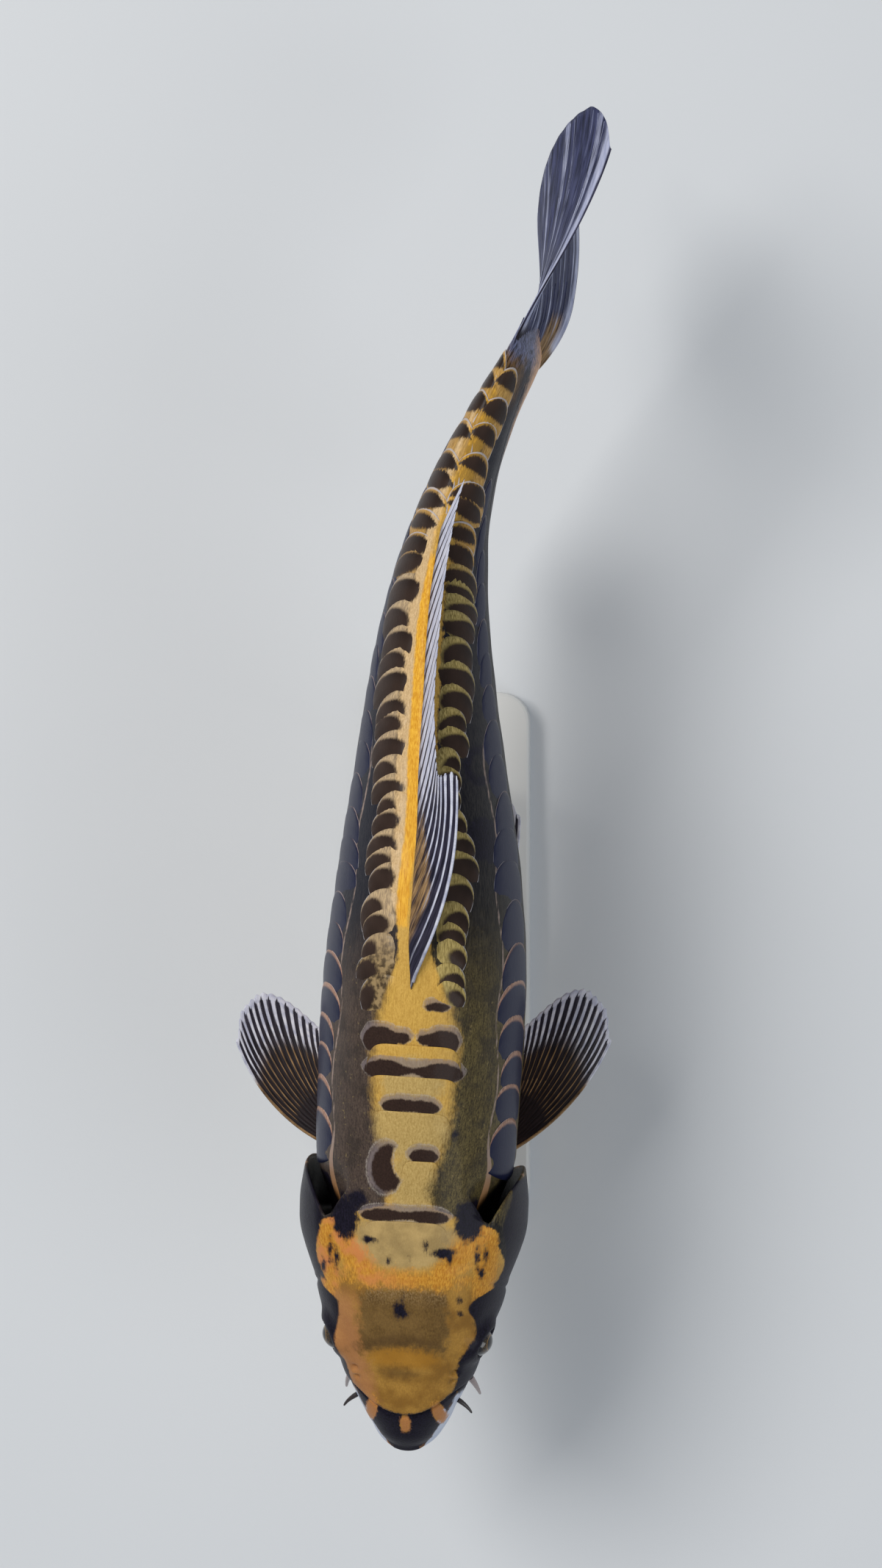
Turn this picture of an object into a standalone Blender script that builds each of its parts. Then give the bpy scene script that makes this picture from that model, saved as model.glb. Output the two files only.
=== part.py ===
"""A koi carp of a scaleless strain, life size, swimming over a plain display stand.

The snout points along -Y, the back along +Z, and the fish's left side is +X. The origin is the
middle of the stand's underside. Every shape of the fish is worked out in body coordinates:
along the body from the snout, sideways from its middle line and up from its axis. The function
place() then bends them round the swimming curve. Lengths in the tables are millimetres.
"""

import math

import bmesh
import bpy
import numpy as np
from mathutils import Vector

MM = 0.001
GAP = 0.4  # what touching solids keep between them

# ---------------------------------------------------------------- driving dimensions
BODY_LENGTH = 491.0  # snout to the root of the tail fin
HEAD_LENGTH = 102.0  # snout to the front of the gill slit
AXIS_HEIGHT = 148.0  # the body's axis over the table
SNOUT_AT = (-10.8, -213.5)  # the snout's X and Y

# From the snout: half width, height of the back and of the belly over the axis.
SECTIONS = (
    (0, 5.5, -9.0, -21.0),
    (3, 9.8, -4.6, -26.0),
    (10, 15.6, 2.0, -31.0),
    (20, 21.4, 9.5, -36.0),
    (36, 28.8, 18.5, -42.0),
    (48, 33.6, 24.5, -46.5),
    (62, 38.3, 30.5, -51.0),
    (82, 43.8, 38.5, -56.0),
    (94, 45.2, 43.0, -59.0),
    (108, 45.0, 47.5, -62.0),
    (134, 44.6, 55.5, -66.5),
    (186, 45.5, 68.0, -71.5),
    (206, 45.3, 70.5, -71.8),
    (251, 41.5, 69.0, -69.0),
    (316, 31.8, 56.5, -57.0),
    (349, 27.0, 47.5, -48.5),
    (381, 22.0, 38.5, -40.0),
    (414, 16.5, 31.5, -33.0),
    (449, 11.5, 27.5, -28.5),
    (475, 8.0, 27.0, -28.0),
    (491, 5.0, 28.5, -29.5),
)
# From the snout: how square the upper and lower halves are (2 is an ellipse), and how high
# the widest level lies between belly and back.
ROUNDING = ((0, 2.2, 2.2, 0.50), (50, 2.6, 2.2, 0.50), (100, 2.4, 2.3, 0.48), (200, 2.1, 2.2, 0.46),
            (330, 2.0, 2.0, 0.48), (620, 2.0, 2.0, 0.50))
# From the snout: which way the body heads, in degrees off the long axis. It runs on into the tail fin.
HEADING = ((0, 2.6), (60, 2.3), (110, 2.6), (150, 3.6), (220, 3.0), (290, 0.2), (330, 1.0), (370, 5.0),
           (400, 10.5), (440, 20.5), (491, 24.0), (515, 12.5), (545, 3.0), (620, 1.0))

# From the snout: how far the tail rolls over, in degrees, its lower edge to the fish's left,
# about a line at this height over the axis.
ROLL = ((0, 0.0), (405, 0.0), (440, 2.2), (470, 5.0), (491, 8.0), (530, 6.0), (620, 0.0))
ROLL_HEIGHT = 22.0

# The gill covers stand open: how far they stand off the head, and how far the shoulder is set in.
COVER_FLARE = ((78, 0.0), (95, 2.2), (108, 4.6), (121, 5.8), (131, 6.4))
SHOULDER_SET_IN = 9.0
SHOULDER_END = 134.0
COVER_LENGTH = 25.5
COVER_THICK = 2.2
COVER_TOP, COVER_BOTTOM = math.radians(46), math.radians(146)  # from the back, round the side

# The mouth: body coordinates of the points through which its cuts run.
MOUTH_HEIGHT = -15.5
JAW_HINGE = (52, 0, -46)
LIP_EDGE = (14, 0, 5)
MOUTH_CORNER = (27, 0, -31)

EYE_AT = (51.6, 30.2, 6.0)
EYE_RADIUS = 7.2

# Thickness of every fin at its root and at its edge.
FIN_ROOT, FIN_EDGE = 2.0, 0.7

ROD_RADIUS = 4.0
RODS_AT = (("front", 137.0), ("rear", 297.0))  # from the snout
BASE_SIZE = (72.0, 250.0, 12.0)

SIDES = (("left", 1.0), ("right", -1.0))


# ---------------------------------------------------------------- the body's form
def through(points, column=1):
    """A smooth curve through the table's points, read as value at(x)."""
    table = np.array(points, float)
    x, y = table[:, 0], table[:, column]
    step = np.diff(x)
    rise = np.diff(y) / step
    inner = (rise[:-1] * step[1:] + rise[1:] * step[:-1]) / (step[:-1] + step[1:])
    slope = np.concatenate([rise[:1], inner, rise[-1:]])

    def at(value):
        value = np.clip(value, x[0], x[-1])
        i = np.clip(np.searchsorted(x, value) - 1, 0, len(step) - 1)
        t = (value - x[i]) / step[i]
        ends = (1 + 2 * t) * (1 - t) ** 2 * y[i] + t * t * (3 - 2 * t) * y[i + 1]
        turns = t * (1 - t) ** 2 * slope[i] - t * t * (1 - t) * slope[i + 1]
        return ends + step[i] * turns

    return at


half_width, back, belly = (through(SECTIONS, column) for column in (1, 2, 3))
upper_round, lower_round, widest_share = (through(ROUNDING, column) for column in (1, 2, 3))
heading = through(HEADING)
roll = through(ROLL)
cover_flare = through(COVER_FLARE)

ALONG = np.linspace(0, 620, 621)
TURN = np.radians(heading(ALONG))
SPINE_X = SNOUT_AT[0] + np.concatenate([[0], np.cumsum(np.sin(TURN[:-1]))])
SPINE_Y = SNOUT_AT[1] + np.concatenate([[0], np.cumsum(np.cos(TURN[:-1]))])


def place(s, x, z):
    """Body coordinates to the world, in metres."""
    s, x, z = np.broadcast_arrays(s, x, z)
    lean = np.radians(roll(s))
    over = z - ROLL_HEIGHT
    x, z = x * np.cos(lean) - over * np.sin(lean), ROLL_HEIGHT + x * np.sin(lean) + over * np.cos(lean)
    turn = np.interp(s, ALONG, TURN)
    world_x = np.interp(s, ALONG, SPINE_X) + np.cos(turn) * x
    world_y = np.interp(s, ALONG, SPINE_Y) - np.sin(turn) * x
    return np.stack([world_x, world_y, AXIS_HEIGHT + z], -1) * MM


def ease(value, low, high):
    """0 below low and 1 above high, with a smooth step between."""
    t = np.clip((value - low) / (high - low), 0, 1)
    return t * t * (3 - 2 * t)


def flap(theta):
    """1 where the gill cover is free of the shoulder, 0 on the nape and under the throat."""
    side = np.abs((theta + math.pi) % (2 * math.pi) - math.pi)
    return ease(side, math.radians(30), math.radians(52)) * (1 - ease(side, math.radians(142), math.radians(160)))


def section(s, theta, out=0.0):
    """A point of the body's surface: theta runs from the back round the left side."""
    s, theta = np.broadcast_arrays(np.asarray(s, float), theta)
    top, bottom = back(s), belly(s)
    middle = bottom + widest_share(s) * (top - bottom)
    sine, cosine = np.sin(theta), np.cos(theta)
    power = 2 / np.where(cosine > 0, upper_round(s), lower_round(s))
    x = half_width(s) * np.sign(sine) * np.abs(sine) ** power
    reach = np.where(cosine > 0, top - middle, middle - bottom)
    z = middle + reach * np.sign(cosine) * np.abs(cosine) ** power
    return s, x + out * sine, z + out * cosine


# ---------------------------------------------------------------- meshes
def finish_mesh(name, points, faces, material, smooth_angle=40):
    """A named object from world points in metres and faces, with its normals turned out."""
    mesh = bpy.data.meshes.new(name)
    mesh.from_pydata([tuple(p) for p in points], [], faces)
    work = bmesh.new()
    work.from_mesh(mesh)
    bmesh.ops.recalc_face_normals(work, faces=work.faces)
    work.to_mesh(mesh)
    work.free()
    obj = bpy.data.objects.new(name, mesh)
    bpy.context.scene.collection.objects.link(obj)
    mesh.materials.append(material)
    mesh.shade_smooth()
    mesh.set_sharp_from_angle(angle=math.radians(smooth_angle))
    return obj


def tube_mesh(name, rings, material):
    """A closed solid lofted through rings of points, an array (ring, point, 3), with flat ends."""
    count, around = rings.shape[:2]
    points = rings.reshape(-1, 3)
    faces = []
    for i in range(count - 1):
        for j in range(around):
            k = (j + 1) % around
            faces.append((i * around + j, i * around + k, (i + 1) * around + k, (i + 1) * around + j))
    faces.append(tuple(range(around)))
    faces.append(tuple(range((count - 1) * around, count * around)))
    return finish_mesh(name, points, faces, material)


def plate_mesh(name, outer, inner, material):
    """A closed solid between two grids of points, arrays (row, column, 3)."""
    rows, columns = outer.shape[:2]
    points = np.concatenate([outer.reshape(-1, 3), inner.reshape(-1, 3)])
    shift = rows * columns
    faces = []
    for i in range(rows - 1):
        for j in range(columns - 1):
            a = i * columns + j
            quad = (a, a + 1, a + columns + 1, a + columns)
            faces.append(quad)
            faces.append(tuple(shift + q for q in reversed(quad)))
    rim = [(0, j) for j in range(columns)] + [(i, columns - 1) for i in range(1, rows)]
    rim += [(rows - 1, j) for j in range(columns - 2, -1, -1)] + [(i, 0) for i in range(rows - 2, 0, -1)]
    edge = [i * columns + j for i, j in rim]
    for a, b in zip(edge, edge[1:] + edge[:1]):
        faces.append((a, b, shift + b, shift + a))
    return finish_mesh(name, points, faces, material)


def ring_angles(around):
    return np.arange(around) * 2 * math.pi / around


def finish_colour(name, colour, roughness, metallic=0.0):
    material = bpy.data.materials.new(name)
    material.use_nodes = True
    shader = material.node_tree.nodes["Principled BSDF"]
    shader.inputs["Base Color"].default_value = (*colour, 1)
    shader.inputs["Roughness"].default_value = roughness
    shader.inputs["Metallic"].default_value = metallic
    return material


# ---------------------------------------------------------------- flesh
def split(whole, name, point, beyond, material):
    """Parts off what lies beyond a plane through the point as a new object, leaving a gap."""
    part = whole.copy()
    part.data = whole.data.copy()
    part.name = name
    part.data.materials[0] = material
    bpy.context.scene.collection.objects.link(part)
    for obj, side in ((whole, -1), (part, 1)):
        work = bmesh.new()
        work.from_mesh(obj.data)
        cut = bmesh.ops.bisect_plane(
            work, geom=[*work.verts, *work.edges, *work.faces],
            plane_co=point + beyond * side * GAP / 2 * MM, plane_no=beyond * side, clear_inner=True,
        )
        edges = [e for e in cut["geom_cut"] if isinstance(e, bmesh.types.BMEdge)]
        bmesh.ops.contextual_create(work, geom=edges)
        bmesh.ops.recalc_face_normals(work, faces=work.faces)
        work.to_mesh(obj.data)
        work.free()


def make_head(flesh, lip):
    """The head down to the gill slit, with the lower jaw and the upper lip parted off."""
    stations = np.array([0, 2, 5, 10, 16, 24, 33, 43, 54, 66, 79, 91, HEAD_LENGTH])
    theta = ring_angles(32)
    flare = cover_flare(stations)[:, None] * flap(theta)
    head = tube_mesh("head", place(*section(stations[:, None], theta, flare)), flesh)
    sideways = Vector((1, 0, 0))
    mouth = Vector(place(0, 0, MOUTH_HEIGHT))
    hinge = Vector(place(*JAW_HINGE))
    split(head, "lower_jaw", mouth, sideways.cross(mouth - hinge).normalized(), lip)
    lip_edge = Vector(place(*LIP_EDGE))
    corner = Vector(place(*MOUTH_CORNER))
    split(head, "upper_lip", lip_edge, sideways.cross(lip_edge - corner).normalized(), lip)
    return head


def make_trunk(flesh):
    """Shoulders, flank and tail stalk, set in under the gill covers."""
    lengths = (
        ("trunk_front", (HEAD_LENGTH + GAP, 112, 123, SHOULDER_END, 150, 168, 187, 206)),
        ("trunk_rear", (206 + GAP, 226, 248, 270, 293, 316, 340)),
        ("tail_stalk", (340 + GAP, 360, 380, 400, 420, 440, 458, 476, BODY_LENGTH)),
    )
    theta = ring_angles(32)
    for name, stations in lengths:
        s = np.array(stations, float)[:, None]
        set_in = SHOULDER_SET_IN * (1 - ease(s, HEAD_LENGTH, SHOULDER_END)) * flap(theta)
        tube_mesh(name, place(*section(s, theta, -set_in)), flesh)


def make_gill_covers(bone):
    """Each cover is a bowed plate with a rounded hind edge, standing open from the shoulder."""
    share = np.linspace(0, 1, 11)[:, None]
    theta = COVER_TOP + share * (COVER_BOTTOM - COVER_TOP)
    margin = np.maximum(np.sin(share * math.pi), 0) ** 0.5
    reach = 3 + (COVER_LENGTH - 3) * margin
    s = HEAD_LENGTH + GAP + np.linspace(0, 1, 6)[None, :] * reach
    off = cover_flare(s) * flap(theta)
    for side_name, side in SIDES:
        plates = [
            place(s, side * x, z)
            for _, x, z in (section(s, theta, off), section(s, theta, off - COVER_THICK))
        ]
        plate_mesh("gill_cover_" + side_name, *plates, bone)


def make_eyes(head, glass):
    """Ball eyes, each in a round socket cut from the head."""
    for side_name, side in SIDES:
        centre = place(EYE_AT[0], side * EYE_AT[1], EYE_AT[2])
        for name, radius in (("eye_" + side_name, EYE_RADIUS), ("socket_" + side_name, EYE_RADIUS + GAP)):
            work = bmesh.new()
            bmesh.ops.create_uvsphere(work, u_segments=16, v_segments=10, radius=radius * MM)
            mesh = bpy.data.meshes.new(name)
            work.to_mesh(mesh)
            work.free()
            mesh.shade_smooth()
            ball = bpy.data.objects.new(name, mesh)
            ball.location = centre
            ball.rotation_euler = (0, math.radians(90), 0)
            bpy.context.scene.collection.objects.link(ball)
            if name.startswith("eye"):
                mesh.materials.append(glass)
                continue
            ball.hide_render = True
            ball.display_type = "WIRE"
            cut = head.modifiers.new(name, "BOOLEAN")
            cut.operation = "DIFFERENCE"
            cut.object = ball


def make_barbels(lip):
    """Two pairs: a short one on the upper lip and a longer one that hangs at the corner of the mouth."""
    pairs = (  # root from the snout, its angle round the head, length, thickness, way it points
        ("barbel_upper_", 22.0, 80, 9.0, 1.0, (-0.60, 0.70, -0.30)),
        ("barbel_corner_", 30.0, 104, 18.0, 1.3, (-0.50, 0.22, -0.80)),
    )
    t = np.linspace(0, 1, 7)
    for name, start, angle, length, radius, (forward, outward, upward) in pairs:
        _, root_x, root_z = section(start, math.radians(angle), GAP + radius)
        s = start + length * forward * t
        x = root_x + length * outward * t * (1.2 - 0.4 * t)
        z = root_z + length * upward * t * (0.8 + 0.2 * t)
        for side_name, side in SIDES:
            centre = place(s, side * x, z)
            tangent = np.gradient(centre, axis=0)
            tangent /= np.linalg.norm(tangent, axis=1)[:, None]
            across = np.cross(tangent, [0, 1.0, 0])
            across /= np.linalg.norm(across, axis=1)[:, None]
            over = np.cross(across, tangent)
            turn = ring_angles(8)[None, :, None]
            thick = radius * (1 - 0.6 * t)[:, None, None] * MM
            ring = np.cos(turn) * across[:, None] + np.sin(turn) * over[:, None]
            tube_mesh(name + side_name, centre[:, None] + ring * thick, lip)


# ---------------------------------------------------------------- fins
def blade(name, ray, across, along, fin, root=FIN_ROOT, edge=FIN_EDGE):
    """A thin solid fin. ray(u, v) gives body coordinates: u counts across the rays, v along them."""
    u = np.linspace(0, 1, across)[:, None]
    v = np.linspace(0, 1, along)[None, :]
    middle = place(*ray(u, v))
    normal = np.cross(np.gradient(middle, axis=0), np.gradient(middle, axis=1))
    normal /= np.linalg.norm(normal, axis=2)[..., None]
    thick = (root + (edge - root) * v ** 0.6)[..., None] * MM / 2
    return plate_mesh(name, middle + normal * thick, middle - normal * thick, fin)


def swept(length, start, bend, v):
    """How far a curved ray has run forward and outward at share v: it leaves at angle start
    (radians off straight back) and turns back by bend."""
    turn = np.where(np.abs(bend) < 1e-6, 1e-6, bend)
    back_run = (np.sin(start) - np.sin(start - turn * v)) / turn
    out_run = (np.cos(start - turn * v) - np.cos(start)) / turn
    return length * back_run, length * out_run


DORSAL_FROM, DORSAL_TO = 213.0, 409.0
fin_line = through(((205, -1.5), (214, -2.0), (232, -4.0), (250, -3.8), (278, -2.6), (301, -2.2),
                    (340, -0.4), (380, 0), (620, 0)))


def dorsal_ray(u, v):
    """The dorsal fin lies folded back and over to the fish's left: a long front fan, then a low strip."""
    root = DORSAL_FROM + (DORSAL_TO - DORSAL_FROM) * u
    length = 27 + 61 * np.exp(-((u / 0.20) ** 1.5)) - 5 * ease(u, 0.8, 1.0)
    rise = np.radians(17 + 5 * ease(u, 0.1, 0.4))
    lean = np.radians(45 - 5 * ease(u, 0.1, 0.5))
    lift = length * v * np.sin(rise) * (1 - 0.12 * v)
    s = root + length * v * np.cos(rise)
    bow = 4.5 * (1 - ease(u, 0.05, 0.35)) * np.sin(math.pi * np.clip(v, 0, 1))
    return s, fin_line(root) + lift * np.sin(lean) + bow, back(root) + GAP + FIN_ROOT * 0.4 + lift * np.cos(lean)


def caudal_ray(lobe):
    """One lobe of the tail fin, +1 the upper: u runs from the fork to the outer edge."""

    def ray(u, v):
        height = lobe * (GAP + 26 * u)
        length = 62 + 48 * np.sin(u * math.pi / 2) ** 0.9 - 13 * ease(u, 0.74, 1.0) - 7 * ease(u, 0.88, 1.0)
        angle = np.radians(28 * u)
        run = length * v * np.cos(angle)
        h = height + lobe * length * np.sin(angle) * (v - 0.15 * v * v)
        outer = 40 * ease(run, -5, 105) if lobe > 0 else 6 * ease(run, -20, 30)
        curl = np.clip(np.abs(h) / (27 + 0.45 * run), 0, 1.2) ** 1.6
        inner = -5 * ease(run, 15, 60) * (1 - u) ** 2
        return BODY_LENGTH + GAP + run, inner + outer * curl, h

    return ray


def anal_ray(u, v):
    root = 372 + 38 * u
    length = 64 - 30 * u - 7 * (1 - ease(u, 0.0, 0.2)) - 6 * ease(u, 0.7, 1.0)
    drop = np.radians(56 - 18 * u - 10 * v)
    s = root + length * v * np.cos(drop)
    z = belly(root) - GAP - FIN_ROOT * 0.3 - length * v * np.sin(drop)
    return s, 3.0 * v * v, z


def pectoral_ray(side):
    """A rounded paddle spread out and back from low on the shoulder; u runs from its front edge.
    The right one is held further out."""
    spread = 0.0 if side > 0 else 14.0

    def ray(u, v):
        root_s = 131 - spread / 5 + 14 * u
        _, root_x, root_z = section(root_s, math.radians(120) + math.radians(9) * u, 1.6)
        length = (77 - spread / 4) * (1 - 0.10 * (1 - ease(u, 0, 0.25))) - 36 * ease(u, 0.4, 1.1)
        start = np.radians(58 - 40 * u + spread)
        bend = np.radians(36 - 20 * u + spread)
        back_run, out_run = swept(length, start, bend, v)
        droop = np.radians(8 + 8 * u)
        z = root_z - (out_run + 0.3 * back_run) * np.sin(droop) - 2 * v * v * (1 - u)
        return root_s + back_run, side * (root_x + out_run * np.cos(droop)), z

    return ray


def pelvic_ray(side):
    """Held back and down under the belly, hidden from above."""

    def ray(u, v):
        root_s = 226 + 17 * u
        angle = math.radians(146) + math.radians(12) * u
        _, root_x, root_z = section(root_s, angle, 1.6)
        length = 68 * (1 - 0.10 * (1 - ease(u, 0, 0.3))) - 30 * ease(u, 0.45, 1.1)
        out = np.radians(24 - 18 * u - 12 * v)
        down = np.radians(31 + 6 * u - 6 * v)
        s = root_s + length * v * np.cos(out) * np.cos(down)
        x = root_x + length * v * np.sin(out)
        return s, side * x, root_z - length * v * np.sin(down)

    return ray


def make_fins(fin):
    blade("dorsal_fin", dorsal_ray, 27, 7, fin)
    blade("caudal_fin_upper", caudal_ray(1), 11, 10, fin)
    blade("caudal_fin_lower", caudal_ray(-1), 11, 10, fin)
    blade("anal_fin", anal_ray, 9, 7, fin)
    for side_name, side in SIDES:
        blade("pectoral_fin_" + side_name, pectoral_ray(side), 12, 9, fin)
        blade("pelvic_fin_" + side_name, pelvic_ray(side), 9, 7, fin)


# ---------------------------------------------------------------- stand
def make_stand(steel, enamel):
    """A flat base with rounded corners, and two rods that end just under the belly."""
    work = bmesh.new()
    bmesh.ops.create_cube(work, size=1)
    for vert in work.verts:
        vert.co = Vector(
            (vert.co.x * BASE_SIZE[0], vert.co.y * BASE_SIZE[1], (vert.co.z + 0.5) * BASE_SIZE[2])
        ) * MM
    uprights = [e for e in work.edges if abs(e.verts[0].co.z - e.verts[1].co.z) > 1 * MM]
    bmesh.ops.bevel(work, geom=uprights, offset=14 * MM, segments=6, profile=0.5, affect="EDGES")
    top = [e for e in work.edges if all(v.co.z > (BASE_SIZE[2] - 0.01) * MM for v in e.verts)]
    bmesh.ops.bevel(work, geom=top, offset=1.5 * MM, segments=2, profile=0.5, affect="EDGES")
    mesh = bpy.data.meshes.new("stand_base")
    work.to_mesh(mesh)
    work.free()
    mesh.materials.append(enamel)
    base = bpy.data.objects.new("stand_base", mesh)
    bpy.context.scene.collection.objects.link(base)

    for name, s in RODS_AT:
        foot = BASE_SIZE[2] + GAP
        tip = AXIS_HEIGHT + belly(s) - 0.8 - foot
        profile = ((0, 0), (11, 0), (11, 2.2), (9.5, 3.6), (5.4, 4.4), (ROD_RADIUS, 6.5),
                   (ROD_RADIUS, tip - 1), (ROD_RADIUS - 1, tip), (0, tip))
        turn = ring_angles(20)[:, None]
        radius, height = (np.array(profile[1:-1], float).T)[:, None, :]
        ring = np.stack([radius * np.cos(turn), radius * np.sin(turn), height + 0 * turn], -1)
        at = place(s, 0, 0) * [1, 1, 0] + [0, 0, foot * MM]
        tube_mesh("stand_rod_" + name, at + ring.transpose(1, 0, 2) * MM, steel)


def main():
    for obj in list(bpy.data.objects):
        bpy.data.objects.remove(obj)
    flesh = finish_colour("skin", (0.16, 0.12, 0.05), 0.35)
    lip = finish_colour("lip", (0.25, 0.17, 0.09), 0.35)
    bone = finish_colour("gill_cover", (0.20, 0.13, 0.05), 0.3)
    glass = finish_colour("eye", (0.02, 0.02, 0.02), 0.08)
    fin = finish_colour("fin", (0.18, 0.18, 0.24), 0.4)
    steel = finish_colour("rod_steel", (0.62, 0.62, 0.63), 0.25, 1.0)
    enamel = finish_colour("base_enamel", (0.75, 0.75, 0.74), 0.45)
    head = make_head(flesh, lip)
    make_trunk(flesh)
    make_gill_covers(bone)
    make_eyes(head, glass)
    make_barbels(lip)
    make_fins(fin)
    make_stand(steel, enamel)


main()
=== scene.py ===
import math

import bmesh
import bpy
import numpy as np
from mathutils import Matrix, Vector


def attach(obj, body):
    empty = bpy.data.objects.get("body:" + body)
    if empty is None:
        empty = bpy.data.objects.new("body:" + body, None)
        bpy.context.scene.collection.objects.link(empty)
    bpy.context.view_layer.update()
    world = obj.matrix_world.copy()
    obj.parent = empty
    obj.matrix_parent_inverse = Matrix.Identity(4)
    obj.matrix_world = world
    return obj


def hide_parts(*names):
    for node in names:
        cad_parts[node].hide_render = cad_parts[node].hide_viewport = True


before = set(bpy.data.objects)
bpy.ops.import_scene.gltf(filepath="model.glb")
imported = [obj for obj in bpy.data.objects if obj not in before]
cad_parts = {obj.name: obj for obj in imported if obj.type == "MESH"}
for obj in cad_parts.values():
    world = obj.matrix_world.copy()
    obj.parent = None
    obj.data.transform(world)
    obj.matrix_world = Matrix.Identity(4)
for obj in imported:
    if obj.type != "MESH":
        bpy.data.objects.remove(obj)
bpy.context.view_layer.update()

# ---------------------------------------------------------------- camera
# The carp is looked down on from 1.6 m, a few degrees over to its left side, with its snout
# toward the lower edge of the view and its tail toward the upper.
LOOK_AT = Vector((0.0056, 0.081, 0.148))
CAMERA_DISTANCE = 1.6
CAMERA_TILT = math.radians(5)
camera_lens = bpy.data.cameras.new("camera")
camera_lens.sensor_fit = "VERTICAL"
camera_lens.sensor_height = 24.0
camera_lens.lens = 55.5
camera = bpy.data.objects.new("camera", camera_lens)
camera.location = LOOK_AT + CAMERA_DISTANCE * Vector((math.sin(CAMERA_TILT), 0, math.cos(CAMERA_TILT)))
camera.rotation_euler = (0, CAMERA_TILT, 0)
bpy.context.scene.collection.objects.link(camera)
bpy.context.scene.camera = camera
bpy.context.scene.view_settings.view_transform = "Standard"


# ---------------------------------------------------------------- table top and studio light
# A plain pale matt table top under two large soft boxes and an even, dim surround. The brighter
# box stands behind the fish, on its right.
def srgb(colour):
    """A colour named by its 0 to 255 screen values, as the linear colour that a shader takes."""
    share = np.array(colour) / 255
    return (*np.where(share <= 0.04045, share / 12.92, ((share + 0.055) / 1.055) ** 2.4).tolist(), 1.0)


def add(kind, inputs=None, **settings):
    """A new node in the tree in hand, its inputs either set or linked from another node's socket."""
    made = tree.nodes.new(kind)
    for name, value in settings.items():
        setattr(made, name, value)
    for name, value in (inputs or {}).items():
        if isinstance(value, bpy.types.NodeSocket):
            tree.links.new(value, made.inputs[name])
        else:
            made.inputs[name].default_value = value
    return made


def mix(share, under, over):
    """The under colour covered by the over colour by that share."""
    under, over = (srgb(colour) if isinstance(colour, tuple) else colour for colour in (under, over))
    return add("ShaderNodeMix", {0: share, 6: under, 7: over}, data_type="RGBA").outputs[2]


def noise(vector, scale, detail=3.0, stretch=(1, 1, 1), roughness=0.5):
    """Noise round 0.5, drawn out along the axes where stretch is small."""
    if stretch != (1, 1, 1):
        vector = add("ShaderNodeVectorMath", {0: vector, 1: stretch}, operation="MULTIPLY").outputs[0]
    made = {"Vector": vector, "Scale": scale, "Detail": detail, "Roughness": roughness}
    return add("ShaderNodeTexNoise", made).outputs["Fac"]


def new_finish(name, roughness=0.5, coat=0.0, coat_roughness=0.1, metallic=0.0, **sockets):
    """A material, its tree and its principled shader, whose constants are set on the shader itself."""
    finish = bpy.data.materials.new(name)
    finish.use_nodes = True
    shader = finish.node_tree.nodes["Principled BSDF"]
    sockets.update(Roughness=roughness, Coat_Weight=coat, Coat_Roughness=coat_roughness, Metallic=metallic)
    for socket, value in sockets.items():
        shader.inputs[socket.replace("_", " ")].default_value = value
    return finish, finish.node_tree, shader


def surface(colour, rough=None, height=None, strength=0.3, distance=0.0003):
    """Links the shader in hand to its colour, its roughness and a fine relief."""
    tree.links.new(colour, shader.inputs["Base Color"])
    if rough:
        tree.links.new(rough, shader.inputs["Roughness"])
    if height:
        grain = add("ShaderNodeBump", {"Height": height, "Strength": strength, "Distance": distance})
        tree.links.new(grain.outputs[0], shader.inputs["Normal"])


def new_piece(name, points, faces, finish):
    """A smooth-shaded object in the scene from world points in metres and faces."""
    mesh = bpy.data.meshes.new(name)
    mesh.from_pydata(points.tolist(), [], faces)
    mesh.materials.append(finish)
    mesh.shade_smooth()
    piece = bpy.data.objects.new(name, mesh)
    bpy.context.scene.collection.objects.link(piece)
    return piece


table_finish, tree, shader = new_finish("table_matt", roughness=0.75)
where = add("ShaderNodeTexCoord").outputs["Object"]
cloudy = mix(noise(where, 2.5), (206, 209, 212), (214, 216, 218))
surface(cloudy, height=noise(where, 900), strength=0.05, distance=0.0005)
corners = np.array([(-4, -4, 0), (4, -4, 0), (4, 4, 0), (-4, 4, 0)], float)
table_top = new_piece("table_top", corners, [(0, 1, 2, 3)], table_finish)

LIGHTS_AIM = Vector((0, 0, 0.1))
SOFT_BOXES = (  # name, place, size, watts, colour
    ("soft_box_key", (-1.1, 0.9, 2.3), 1.3, 50, (1.0, 0.98, 0.95)),
    ("soft_box_fill", (1.7, -1.2, 1.5), 1.4, 15, (0.92, 0.96, 1.0)),
)
for name, box_at, size, watts, colour in SOFT_BOXES:
    box_light = bpy.data.lights.new(name, "AREA")
    box_light.shape = "SQUARE"
    box_light.size = size
    box_light.energy = watts
    box_light.color = colour
    soft_box = bpy.data.objects.new(name, box_light)
    soft_box.location = box_at
    soft_box.rotation_euler = (LIGHTS_AIM - Vector(box_at)).to_track_quat("-Z", "Y").to_euler()
    bpy.context.scene.collection.objects.link(soft_box)
surround = bpy.data.worlds.new("surround")
surround.use_nodes = True
backdrop = surround.node_tree.nodes["Background"].inputs
backdrop["Color"].default_value = (0.86, 0.92, 1.0, 1)
backdrop["Strength"].default_value = 0.34
bpy.context.scene.world = surround

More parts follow.
